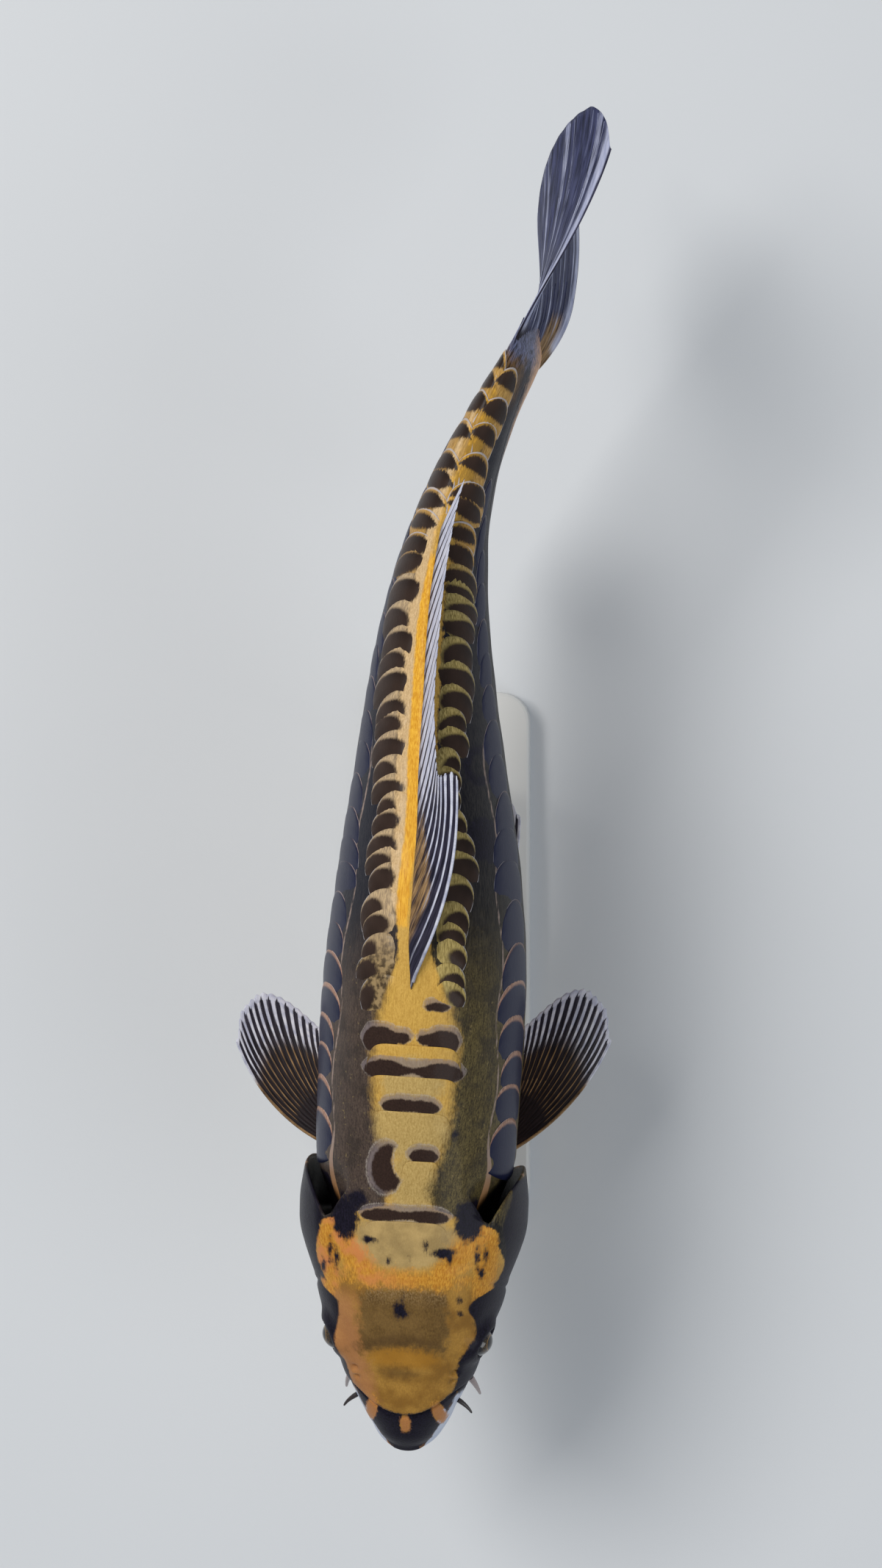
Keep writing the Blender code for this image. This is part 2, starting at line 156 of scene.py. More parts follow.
# ---------------------------------------------------------------- skin
# One leathery wet skin from the lips to the root of the tail fin, nearly bare of scales. It runs
# out over the gill covers, round their free edges and back in under them to the shoulder. It is
# lofted in body coordinates, millimetres from the snout, sideways and up, and then bent.
MM = 0.001
BODY_LENGTH = 491.0
HEAD_LENGTH = 102.0
AXIS_HEIGHT = 148.0
SNOUT_AT = (-10.8, -213.5)
SECTIONS = (  # from the snout: half width, height of the back and of the belly over the axis
    (0, 5.5, -9.0, -21.0),
    (3, 9.8, -4.6, -26.0),
    (10, 15.6, 2.0, -31.0),
    (20, 21.4, 9.5, -36.0),
    (36, 28.8, 18.5, -42.0),
    (48, 33.6, 24.5, -46.5),
    (62, 38.3, 30.5, -51.0),
    (82, 43.8, 38.5, -56.0),
    (94, 45.2, 43.0, -59.0),
    (108, 45.0, 47.5, -62.0),
    (134, 44.6, 55.5, -66.5),
    (186, 45.5, 68.0, -71.5),
    (206, 45.3, 70.5, -71.8),
    (251, 41.5, 69.0, -69.0),
    (316, 31.8, 56.5, -57.0),
    (349, 27.0, 47.5, -48.5),
    (381, 22.0, 38.5, -40.0),
    (414, 16.5, 31.5, -33.0),
    (449, 11.5, 27.5, -28.5),
    (475, 8.0, 27.0, -28.0),
    (491, 5.0, 28.5, -29.5),
)
# From the snout: how square the upper and lower halves are, and where the widest level lies.
ROUNDING = ((0, 2.2, 2.2, 0.50), (50, 2.6, 2.2, 0.50), (100, 2.4, 2.3, 0.48), (200, 2.1, 2.2, 0.46),
            (330, 2.0, 2.0, 0.48), (620, 2.0, 2.0, 0.50))
# From the snout: which way the body heads, in degrees off the long axis, and how far it rolls over.
HEADING = ((0, 2.6), (60, 2.3), (110, 2.6), (150, 3.6), (220, 3.0), (290, 0.2), (330, 1.0), (370, 5.0),
           (400, 10.5), (440, 20.5), (491, 24.0), (515, 12.5), (545, 3.0), (620, 1.0))
ROLL = ((0, 0.0), (405, 0.0), (440, 2.2), (470, 5.0), (491, 8.0), (530, 6.0), (620, 0.0))
ROLL_HEIGHT = 22.0
COVER_FLARE = ((78, 0.0), (92, 2.2), (104, 4.8), (113, 5.7), (121, 5.0), (131, 3.6))
SHOULDER_SET_IN = 9.0
SHOULDER_END = 134.0
COVER_LENGTH = 24.5
COVER_TOP, COVER_BOTTOM = math.radians(46), math.radians(146)
EDGE_REACH, EDGE_HALF = 0.8, 0.75  # the cover's rounded edge: how far back it bulges, half its thickness
SKIN_INSET = 0.4  # the depth of the scales that lie on the skin
SNOUT_CAP, TAIL_TUCK = 1.3, 13.0  # how far the closed ends of the skin reach past the body's length
HEAD_MIDDLE, TRUNK_MIDDLE = -15.0, -0.5  # the heights that the rows close round
TIP_S, TIP_Z = (-SNOUT_CAP, BODY_LENGTH + TAIL_TUCK), (HEAD_MIDDLE, TRUNK_MIDDLE)


def through(points, column=1):
    """A smooth curve through the table's points, read as value at(x)."""
    table = np.array(points, float)
    x, y = table[:, 0], table[:, column]
    step = np.diff(x)
    rise = np.diff(y) / step
    inner = (rise[:-1] * step[1:] + rise[1:] * step[:-1]) / (step[:-1] + step[1:])
    slope = np.concatenate([rise[:1], inner, rise[-1:]])

    def at(value):
        value = np.clip(value, x[0], x[-1])
        i = np.clip(np.searchsorted(x, value) - 1, 0, len(step) - 1)
        t = (value - x[i]) / step[i]
        ends = (1 + 2 * t) * (1 - t) ** 2 * y[i] + t * t * (3 - 2 * t) * y[i + 1]
        turns = t * (1 - t) ** 2 * slope[i] - t * t * (1 - t) * slope[i + 1]
        return ends + step[i] * turns

    return at


half_width, back, belly = (through(SECTIONS, column) for column in (1, 2, 3))
upper_round, lower_round, widest_share = (through(ROUNDING, column) for column in (1, 2, 3))
heading, roll, cover_flare = through(HEADING), through(ROLL), through(COVER_FLARE)
ALONG = np.linspace(0, 620, 621)
TURN = np.radians(heading(ALONG))
SPINE_X = SNOUT_AT[0] + np.concatenate([[0], np.cumsum(np.sin(TURN[:-1]))])
SPINE_Y = SNOUT_AT[1] + np.concatenate([[0], np.cumsum(np.cos(TURN[:-1]))])


def place(s, x, z):
    """Body coordinates to the world, in metres."""
    s, x, z = np.broadcast_arrays(s, x, z)
    lean = np.radians(roll(s))
    over = z - ROLL_HEIGHT
    x, z = x * np.cos(lean) - over * np.sin(lean), ROLL_HEIGHT + x * np.sin(lean) + over * np.cos(lean)
    turn = np.interp(s, ALONG, TURN)
    world_x = np.interp(s, ALONG, SPINE_X) + np.cos(turn) * x + np.minimum(s, 0) * np.sin(turn)
    world_y = np.interp(s, ALONG, SPINE_Y) - np.sin(turn) * x + np.minimum(s, 0) * np.cos(turn)
    return np.stack([world_x, world_y, AXIS_HEIGHT + z], -1) * MM


def ease(value, low, high):
    """0 up to low and 1 from high on with a smooth step between, falling where high is the smaller."""
    t = np.clip((value - low) / (high - low), 0, 1)
    return t * t * (3 - 2 * t)


def mound(*ratios):
    """1 in the middle and falling away, where each ratio is a distance over its reach."""
    return np.exp(-sum(np.square(ratio) for ratio in ratios))


def section(s, theta, out=0.0):
    """A point of the body's surface: theta runs from the back round the left side."""
    s, theta = np.broadcast_arrays(np.asarray(s, float), theta)
    top, bottom = back(s), belly(s)
    middle = bottom + widest_share(s) * (top - bottom)
    sine, cosine = np.sin(theta), np.cos(theta)
    power = 2 / np.where(cosine > 0, upper_round(s), lower_round(s))
    x = half_width(s) * np.sign(sine) * np.abs(sine) ** power
    reach = np.where(cosine > 0, top - middle, middle - bottom)
    z = middle + reach * np.sign(cosine) * np.abs(cosine) ** power
    return s, x + out * sine, z + out * cosine


def flap(theta):
    """1 where the gill cover is free of the shoulder, 0 on the nape and under the throat."""
    side = np.abs((theta + math.pi) % (2 * math.pi) - math.pi)
    return ease(np.degrees(side), 30, 52) * ease(np.degrees(side), 160, 142)


def edge_of_cover(theta):
    """How far from the snout the gill cover's free edge lies."""
    side = np.abs((theta + math.pi) % (2 * math.pi) - math.pi)
    share = np.clip((side - COVER_TOP) / (COVER_BOTTOM - COVER_TOP), 0, 1)
    return HEAD_LENGTH + 3 + (COVER_LENGTH - 3) * np.sqrt(np.sin(share * math.pi))


# The rows of the loft. Columns stand closer on the cheeks than on the back and belly.
COLUMNS = 240
GILL_FROM = 96.0  # where the rows start to run out over the gill covers
GILL_DEPTH = 101.0  # how far forward the opening behind the cover reaches
step_round = np.arange(COLUMNS) * 2 * math.pi / COLUMNS
theta_row = step_round + 0.16 * np.sin(2 * step_round)
cover_edge = edge_of_cover(theta_row)
free = flap(theta_row)
skin_rows = []


def lay_row(s, out=0.0, wide=1.0, tall=1.0, inside=0.0):
    """The next row: how far from the snout, how far off the body, its share of width and height."""
    skin_rows.append([np.broadcast_to(value, COLUMNS) for value in (s, out, wide, tall, inside, theta_row)])


for share in np.linspace(0.06, 0.94, 12):
    lay_row(-SNOUT_CAP * (1 - share**2), wide=share, tall=share)
for share in np.linspace(0, 1, 130):
    lay_row(GILL_FROM * share**1.12, out=cover_flare(GILL_FROM * share**1.12) * free)
fold = []  # the way over the cover and back in: along the body, off it, and its share of painted shade inside the gill
for share in np.linspace(0.05, 0.97, 20):
    s = GILL_FROM + (cover_edge - GILL_FROM) * share
    fold.append((s, cover_flare(s), 0.0))
for around in np.radians([35, 70, 110, 145]):
    s = cover_edge - EDGE_REACH + EDGE_REACH * np.sin(around)
    fold.append((s, cover_flare(cover_edge) - EDGE_HALF + EDGE_HALF * np.cos(around), 0.0))
# the inner face of the cover, which is painted near black as shade
for share in np.linspace(0.04, 1, 11):
    s = cover_edge - EDGE_REACH + (GILL_DEPTH - cover_edge + EDGE_REACH) * share
    fold.append((s, cover_flare(s) - 1.5 - 0.9 * share, 1.0))
for share in (0.35, 0.7):
    deep = cover_flare(GILL_DEPTH) - 2.4
    fold.append((GILL_DEPTH - 0.6, deep + (-SHOULDER_SET_IN - deep) * share + 0 * cover_edge, 1.0))
# the shoulder under the cover, painted with shade that fades out a little past the cover's edge
for share in np.linspace(0, 1, 22):
    s = GILL_DEPTH + (SHOULDER_END - GILL_DEPTH) * share
    shoulder_shade = ease(s - cover_edge, 6.0, -2.0)
    fold.append((s + 0 * cover_edge, -SHOULDER_SET_IN * (1 - ease(s, HEAD_LENGTH, SHOULDER_END)), shoulder_shade))
for number, (s, off, inside) in enumerate(fold):
    straight = GILL_FROM + (SHOULDER_END - GILL_FROM) * (number + 1) / len(fold)
    lay_row(straight + free * (s - straight), out=free * off, inside=free * inside)
for share in np.linspace(0, 1, 171)[1:]:
    lay_row(SHOULDER_END + (BODY_LENGTH - SHOULDER_END) * share)
for share in np.linspace(0, 1, 9)[1:]:
    lay_row(BODY_LENGTH + TAIL_TUCK * share, wide=1 - 0.86 * ease(share, -0.2, 1), tall=1 - 0.05 * share**2)

skin_s, skin_out, wide, tall, skin_gill_shade, theta = np.array(skin_rows).transpose(1, 0, 2)
_, skin_x, skin_z = section(skin_s, theta, skin_out - SKIN_INSET * ease(skin_s, 96, 120))
middle = np.where(skin_s < 60, HEAD_MIDDLE, TRUNK_MIDDLE)
skin_x = skin_x * wide
skin_z = middle + (skin_z - middle) * tall
side_angle = np.degrees((theta + math.pi) % (2 * math.pi) - math.pi)  # plus on the fish's left
from_back = np.abs(side_angle)

# The folds and hollows of the skin, in millimetres off the loft.
MOUTH_HEIGHT, MOUTH_DROP, MOUTH_END = -15.5, 0.534, 29.0
EYE_AT = (51.6, 30.2, 6.0)
EYE_RADIUS = 7.2
NOSTRIL_AT = (36.0, 43.0)  # from the snout, and degrees round from the back
# From the back round: how far from the snout the fold over the upper lip ends.
cap_edge = through(((0, 17.2), (15, 18.6), (30, 21.6), (50, 28), (70, 31.5), (90, 33), (110, 33.5), (125, 32),
                    (180, 32)))


def relief(s, angle, x, z):
    """How far the finished skin stands off the plain loft of the body."""
    lift = np.zeros_like(s)
    # the mouth's slit with a full lip over and under it, and the crease behind the lower lip
    off_slit = 0.88 * (z - MOUTH_HEIGHT + MOUTH_DROP * s)
    mouth = 1 - ease(s, MOUTH_END - 3, MOUTH_END + 2)
    lift += mouth * (1.2 * mound((off_slit - 2.9) / 1.8) + 1.4 * mound((off_slit + 2.9) / 1.9))
    lift -= mouth * (3.0 * mound(off_slit / 0.75) + 1.1 * mound((off_slit + 6.6) / 1.0))
    # the fold of the snout over the upper lip
    past = s - cap_edge(angle)
    fold_share = ease(angle, 128, 112)
    lift += fold_share * 0.9 * ease(past, -0.9, 0.7) * ease(past, 14, 2)
    lift -= fold_share * 1.5 * mound((past + 0.9) / 0.8)
    # nostrils: a round hole in front, a wider one behind and a flap of skin between
    round_nose = (angle - NOSTRIL_AT[1]) * 0.46
    ahead = s - NOSTRIL_AT[0]
    lift -= 1.9 * mound((ahead + 1.9) / 1.1, round_nose / 1.2)
    lift -= 2.2 * mound((ahead - 1.9) / 1.2, round_nose / 1.7)
    lift += 1.1 * mound(ahead / 0.8, round_nose / 2.0) + 0.5 * mound(ahead / 4.5, round_nose / 4.0)
    # the eye's socket, its rim and the brow over it
    ahead, above = s - EYE_AT[0], z - EYE_AT[2]
    off_eye = np.where(np.abs(x) > 12, np.hypot(ahead, above), 99)
    rim = 2.5 + 0.7 * np.clip(above / 7, -1, 1)
    lift += np.where(off_eye > 6.3, rim * mound((off_eye - 6.3) / 4.2), rim - 4.5 * (6.3 - off_eye))
    lift = np.maximum(lift, -5.5)
    lift += 0.8 * mound(ahead / 12, (angle - 48) / 8)
    # cheek bones and the plates of the gill cover
    crease = mound((s - 73 - 7 * ((angle - 95) / 42) ** 2) / 1.3)
    lift -= 0.7 * crease * ease(angle, 52, 62) * ease(angle, 140, 128)
    lift += 0.9 * mound((s - 66) / 8, (angle - 92) / 26)
    lift += 1.1 * mound((s - 96) / 12, (angle - 84) / 20)
    lift -= 0.6 * mound((angle - 117 + (s - 84) * 0.12) / 1.6) * ease(s, 80, 84) * ease(s, 124, 118)
    lift -= 0.5 * mound((s - 55 - 0.12 * (angle - 78)) / 1.1) * ease(angle, 84, 92) * ease(angle, 122, 112)
    # the brow plates of the skull, its middle furrow and the step to the nape
    lift -= 0.35 * mound((s - 85 - 0.10 * angle) / 2.2) * ease(angle, 40, 26)
    lift -= 0.25 * mound(x / 2.5) * ease(s, 40, 50) * ease(s, 84, 74)
    # folds of the throat, which run back to the gill openings
    lift -= 0.9 * mound((s - 62 - (180 - angle) * 1.05) / 1.2) * ease(angle, 138, 146) * ease(angle, 178, 170)
    lift -= 0.6 * mound((s - 76 - (180 - angle) * 0.85) / 1.1) * ease(angle, 142, 150) * ease(angle, 176, 168)
    # swellings that the fins grow from
    lift += 1.5 * mound((x + 1.8) / 3.4) * ease(s, 204, 222) * ease(s, 412, 398) * (z > 0)
    lift += 1.4 * mound(x / 3.0) * ease(s, 362, 374) * ease(s, 416, 406) * (z < 0)
    lift += 2.2 * mound((s - 137) / 9, (angle - 123) / 7)
    lift += 1.6 * mound((s - 235) / 11, (angle - 152) / 7)
    # the side line, and the slight unevenness of living flesh
    side_line = 92 - 8 * ease(s, 100, 260)
    lift -= 0.22 * mound((angle - side_line) / 1.3) * ease(s, 128, 140) * ease(s, 488, 470)
    uneven = np.sin(s / 9.1 + 1.7 * np.sin(angle / 17)) * np.sin(angle / 8.3 + s / 31)
    uneven += 0.6 * np.sin(s / 4.3 - angle / 11)
    return lift + 0.14 * uneven * ease(s, 90, 150)


outer = skin_gill_shade < 0.01
base = place(skin_s, skin_x, skin_z)
across = np.roll(base, -1, axis=1) - np.roll(base, 1, axis=1)
along = np.gradient(base, axis=0)
normal = np.cross(across, along)
normal /= np.linalg.norm(normal, axis=2)[..., None]
outward = (normal * (base - base.mean(axis=1, keepdims=True))).sum(-1)
normal *= np.sign(outward[200].sum())
skin_lift = relief(skin_s, from_back, skin_x, skin_z) * outer
points = (base + normal * (skin_lift * MM)[..., None]).reshape(-1, 3)
rows = len(skin_s)
points = np.concatenate([points, place(TIP_S, 0, TIP_Z)])


def loft_faces(rows, columns):
    """The faces over rows of points laid round, closed by the two last points at the ends."""
    ring = [(j, (j + 1) % columns) for j in range(columns)]
    faces = []
    for a in range(0, (rows - 1) * columns, columns):
        faces += [(a + j, a + k, a + columns + k, a + columns + j) for j, k in ring]
    for j, k in ring:
        faces += [(rows * columns, k, j), (rows * columns + 1, (rows - 1) * columns + j, (rows - 1) * columns + k)]
    return faces


faces = loft_faces(rows, COLUMNS)

# The markings, as fields over the body: each is a distance in millimetres, plus inside the mark.
# Middles and reaches across the back go by the distance from the snout.
OUTSIDE = -9.0  # well outside a mark
band_middle = through(((0, 0), (205, -1), (244, -4), (284, -4.5), (340, -3), (392, -1), (410, 0), (500, 0)))
band_reach = through(((84, 30), (100, 26), (112, 12), (118, 9), (130, 11), (150, 16), (165, 17), (186, 18),
                      (200, 15), (212, 11), (222, 7.5), (234, 7.5), (248, 10), (284, 9), (340, 8.5), (400, 7),
                      (450, 5), (468, 3), (476, -3)))
stripe_middle = through(((205, -7), (235, -9.0), (250, -8.5), (278, -5.7), (301, -5.2), (337, -3.1), (362, -2.3),
                         (392, 0)))
fin_line = through(((205, -1.5), (214, -2.0), (232, -4.0), (250, -3.8), (278, -2.6), (301, -2.2), (340, -0.4),
                    (380, 0), (620, 0)))
# From the snout: how far round the sides the gold of the head comes, in degrees.
gold_right = through(((0, 70), (14, 60), (24, 52), (34, 55), (44, 52), (56, 49), (64, 42), (69, 43), (74, 58),
                      (85, 64), (95, 54), (104, 47), (112, 16), (120, -20)))
gold_left = through(((0, 70), (14, 60), (24, 48), (34, 47), (44, 41), (50, 44), (58, 50), (62, 46), (67, 38),
                     (71, 40), (75, 54), (78, 68), (88, 62), (96, 52), (104, 47), (112, 16), (120, -20)))
POCKETS = (  # dark pockets across the back: from the snout, half thickness, from, to, pinch, bow
    (109.6, 3.1, -19.5, 19.0, 0.45, 1.0),
    (136.4, 3.0, 0.4, 12.8, 0.0, 0.6),
    (158.0, 3.1, -12.4, 12.2, 0.15, 0.8),
    (173.2, 4.8, -21.2, 21.2, 0.74, 0.8),
    (185.8, 5.4, -22.2, -8.0, 0.0, 0.6),
    (187.0, 2.5, -14.0, -1.8, 0.0, 0.0),
    (186.2, 5.0, 5.6, 18.4, 0.0, 0.4),
    (187.0, 2.4, 1.2, 10.0, 0.0, 0.0),
    (201.0, 1.8, 3.0, 13.5, 0.0, 0.4),
)


def patch(s, x, at, size):
    """An oval mark round a place on the back."""
    return (1 - np.hypot((s - at[0]) / size[0], (x - at[1]) / size[1])) * min(size)


def bar(s, x, at, thick, start, end, pinch, bow):
    """A mark across the back from start to end, thinner by pinch in its middle, its ends bowed forward."""
    off = (x - (start + end) / 2) / ((end - start) / 2)
    half = thick * (1 - pinch * mound(off / 0.34)) * np.sqrt(np.clip(1 - off**4, 0, 1))
    past_end = np.maximum(np.abs(off) - 1, 0) * (end - start) / 2
    return half - np.hypot(s - at + bow * np.minimum(off**2, 1), past_end)


def join(*fields):
    """Where any of the fields is inside."""
    joined = fields[0]
    for field in fields[1:]:
        joined = np.maximum(joined, field)
    return joined


def overlap(*fields):
    """Where all of the fields are inside."""
    return -join(*(-field for field in fields))


def patches(s, x, *ovals):
    """The oval marks whose places and sizes are given, as one field."""
    return join(*(patch(s, x, oval[:2], oval[2:]) for oval in ovals))


def meet(one, other, round_off):
    """Where both fields are inside, with the corner between them rounded off."""
    return np.minimum(one, other) - np.square(np.maximum(round_off - np.abs(one - other), 0)) / (4 * round_off)


def markings(s, side, x, z):
    """The fields that skin and scales are coloured by, in groups of three."""
    angle = np.abs(side)
    girth = 0.9 * half_width(s) * math.pi / 180  # the millimetres round the body to a degree
    on_back = angle < 85
    # gold: the top of the head, and the band along the back
    reach = np.where(side > 0, gold_left(s), gold_right(s))
    gold = join((reach - angle) * girth, np.where(on_back, band_reach(s) - np.abs(x - band_middle(s)), OUTSIDE))
    # beige: the nape, the saddle before the fin and the band beside it
    nape = patches(s, x, (98, 0, 13, 24), (148, 0, 14, 17), (124, 3, 16, 10))
    nape = join(nape, patch(s, x, (168, 0), (14, 17)) - 3)
    beside = overlap(ease(s, 212, 232) * 8 - 4, 6.5 - 2.0 * np.abs(x - stripe_middle(s) + 5.6))
    beige = join(nape, beside)
    # orange: the sides of the nape, and the stripe along the foot of the fin
    cheeks = 7 - np.abs(angle - 46 + 0.2 * (s - 88)) * girth - 16 * ease(s, 98, 112) - 8 * ease(78 - s, 0, 14)
    down_band = np.clip(((106 - s) * 24 + (34 - np.abs(x)) * 18) / 900, 0, 1)
    cheeks = join(cheeks, 5.6 - np.hypot(s - 106 + 24 * down_band, np.abs(x) - 34 + 18 * down_band))
    cheeks = 0.55 * join(cheeks, patch(s, x, (81.0, 0), (3.5, 26)))
    stripe_run = 10 * ease(s, 222, 246) + 5 * ease(396 - s, 0, 10) - 11
    stripe = overlap(6.5 - 2.4 * np.abs(x - stripe_middle(s)), stripe_run)
    lip_corners = patch(s + 0.9 * np.abs(x), np.abs(x), (31.5, 15.2), (5.4, 3.0))
    lip_marks = overlap(join(patch(s, x, (12.5, 0.3), (3.8, 2.2)), lip_corners), (76 - angle) * 0.3)
    orange = join(cheeks, np.where(angle < 60, stripe, OUTSIDE), lip_marks)
    # dark: round the eyes, the gill covers, nape corners, the top of the upper lip, painted shade along the snout's
    # fold over it, and the smudges of the left flank
    eye_side = overlap((angle - reach - 1) * girth, (s - 27) * 0.7, (78 - s) * 0.8, (102 - angle) * girth)
    cover_top = (angle - 59 - 5 * np.sin(s / 6.1) + 8 * (side < 0)) * girth
    cover_foot = (112 + 10 * np.sin(s / 9) - angle) * girth
    cover = overlap(cover_top, (s - 77) * 0.9, cover_foot, 124 - s)
    corners = 0.6 * patches(s, x, (107, -26.5, 10, 6.0), (108, 27.0, 9.5, 6.2), (115, -21, 4.5, 4))
    # the upper lip's dark top, and a band of painted shade along the crease where the snout folds over it
    lip_top_and_fold_shade = join(overlap(cap_edge(angle) + 0.6 - s, (62 - angle) * 0.3 + 2.0 * (s < 6)),
                   overlap(2.0 - np.abs(s - cap_edge(angle) + 1), (100 - angle) * 0.2))
    spots = patches(
        s, x, (67.0, -1.9, 4.4, 2.4), (64.8, 0.2, 1.8, 2.8), (72.5, -0.8, 3.0, 0.9), (93.5, 17, 2.3, 5.0),
        (91.0, 19.5, 3.0, 1.4), (96, 9.5, 2.0, 1.1), (98, -15.5, 1.5, 3.0), (89, -6.5, 1.4, 0.8), (90, 2, 1.3, 0.7),
        (146, 19.7, 2.4, 1.6), (92, -33, 5.0, 0.9), (88, -30, 4.2, 1.1), (90, 31, 4.6, 1.0), (93, 34.6, 4.0, 0.9),
        (84, -36, 3.2, 1.2), (84, 33, 2.6, 0.9), (72, 24, 1.6, 1.1), (66, 24.5, 1.3, 0.9))
    ring = 1.5 - np.abs(np.hypot((s - 303) / 1.25, x - 23) - 5.5)
    smudges = join(ring, patches(s, x, (272, 24, 9, 7), (268, 29, 7, 4), (258, 20, 3, 3)))
    dark = join(eye_side, cover, corners, lip_top_and_fold_shade, np.where(on_back, spots, OUTSIDE))
    dark = np.minimum(join(dark, np.where((z > 0) & (x > 0), smudges, OUTSIDE)), 4.0)
    dark = np.where(lip_marks > -0.5, np.minimum(dark, -2 * lip_marks), dark)
    # pale: the sides of the lips and their front
    lip_sides = overlap(5.5 + 0.36 * (angle - 46) - np.abs(s - 14), angle - 50, 118 - angle)
    pale = lip_sides - 5 * ease(np.abs(x), 13, 5) * (angle < 100) + 1.5 * (side > 0)
    # belly: below the row of scales on the flank, and the throat
    flank_edge = 106 - 4 * np.sin(s / 23) - 2 * np.sin(s / 6.7)
    under = np.where(s < 118, (angle - 110 + 14 * ease(s, 40, 70)) * girth, (angle - flank_edge) * girth)
    # the skull's thin dull skin, the fuller gold before it and the smudge on the snout
    skull_sides = 19.5 - np.abs(x) - 0.008 * np.square(s - 62) + np.sin(s / 2.1 + x)
    skull = overlap(skull_sides, (s - 49.5 + 0.012 * x * x) * 0.8, (77.5 - s - 0.004 * x * x) * 0.8)
    moon = patch(s, x, (45, 0), (5.5, 16))
    smudge = join(patch(s, x, (37.5, -2), (3.0, 7.5)), patch(s, x, (52.5 - 0.01 * x * x, -2), (2.6, 17)))
    # the pockets, the soft cloud at their hind side and the fine pale lines of the skin
    pocket, cloud = OUTSIDE + 0 * s, OUTSIDE + 0 * s
    for at, thick, start, end, pinch, bow in POCKETS:
        pocket = join(pocket, bar(s, x, at, thick, start, end, pinch, bow))
        cloud = join(cloud, bar(s - 1.3, x, at, thick + 0.7, start - 0.9, end + 0.9, 0.4 * pinch, bow))
    crescent = overlap(patch(s, x, (130.0, -8.6), (10.4, 6.8)), -patch(s, x, (134.5, -1.2), (9, 5.6)))
    pocket = join(pocket, crescent)
    cloud = join(cloud, overlap(patch(s, x, (130.6, -9.4), (12.0, 8.0)), -patch(s, x, (134.5, -0.6), (10, 5.8))))
    off_line = np.abs(angle - 49 - 2.2 * np.sin(s / 8.3)) * girth
    line_run = 4 * ease(s, 104, 109) + 2 * ease(330 - s, 0, 40) - 5
    line = overlap(0.42 + 2.4 * ease(150 - s, 0, 44) - off_line, line_run)
    line = np.where(np.abs(x) - section(s, np.radians(angle))[1] > 0.6, -9.0, line)
    cover_rim = 0.5 - np.abs(s - edge_of_cover(np.radians(side)) + 0.5)
    line = join(line, np.where((s < 130) & (angle > 80), cover_rim, OUTSIDE))
    on_top = z > 0
    return ((gold, beige, dark), (orange, pale, under), np.where(on_top, (skull, moon, smudge), OUTSIDE),
            np.where(on_top, (pocket, cloud, line), OUTSIDE))


def fill_attribute(mesh, name, values):
    """Gives every point of a mesh its own number, or its own three."""
    values = np.asarray(values, np.float32)
    kind, part = ("FLOAT", "value") if values.ndim == 1 else ("FLOAT_VECTOR", "vector")
    mesh.attributes.new(name, kind, "POINT").data.foreach_set(part, values.ravel())


def mark_mesh(mesh, s, side, x, z, inside, open_share=1.0):
    """Gives every point its body coordinates, the fields of the markings and its share of painted shade in the gill
    hollow.
    """
    back_marks, face_marks, head_marks, (pocket, cloud, line) = markings(s, side, x, z)
    pocket, cloud = np.where(open_share > 0, (pocket, cloud), OUTSIDE)
    for name, parts in (("body", (s, x, z)), ("back_marks", back_marks), ("face_marks", face_marks),
                        ("head_marks", tuple(head_marks)), ("pocket_marks", (pocket, cloud, line)),
                        ("gill_shade_and_side", (inside, side, 0 * s))):
        fill_attribute(mesh, name, np.stack(parts, -1))


def calc(operation, *values):
    return add("ShaderNodeMath", dict(enumerate(values)), operation=operation).outputs[0]


def plus(one, other):
    return calc("ADD", one, other)


def times(one, other):
    return calc("MULTIPLY", one, other)


def between(value, low, high):
    """0 at low and 1 at high, with a smooth step between."""
    made = {"Value": value, "From Min": low, "From Max": high}
    return add("ShaderNodeMapRange", made, interpolation_type="SMOOTHSTEP").outputs["Result"]


def fade(value, low, high, under, over, most=1.0):
    """The under colour up to low, and the most share of the over colour from high on."""
    share = between(value, low, high)
    return mix(times(share, most) if most < 1 else share, under, over)


def field(name):
    """The three parts of a vector attribute."""
    read = add("ShaderNodeAttribute", attribute_name=name).outputs["Vector"]
    return add("ShaderNodeSeparateXYZ", {0: read}).outputs


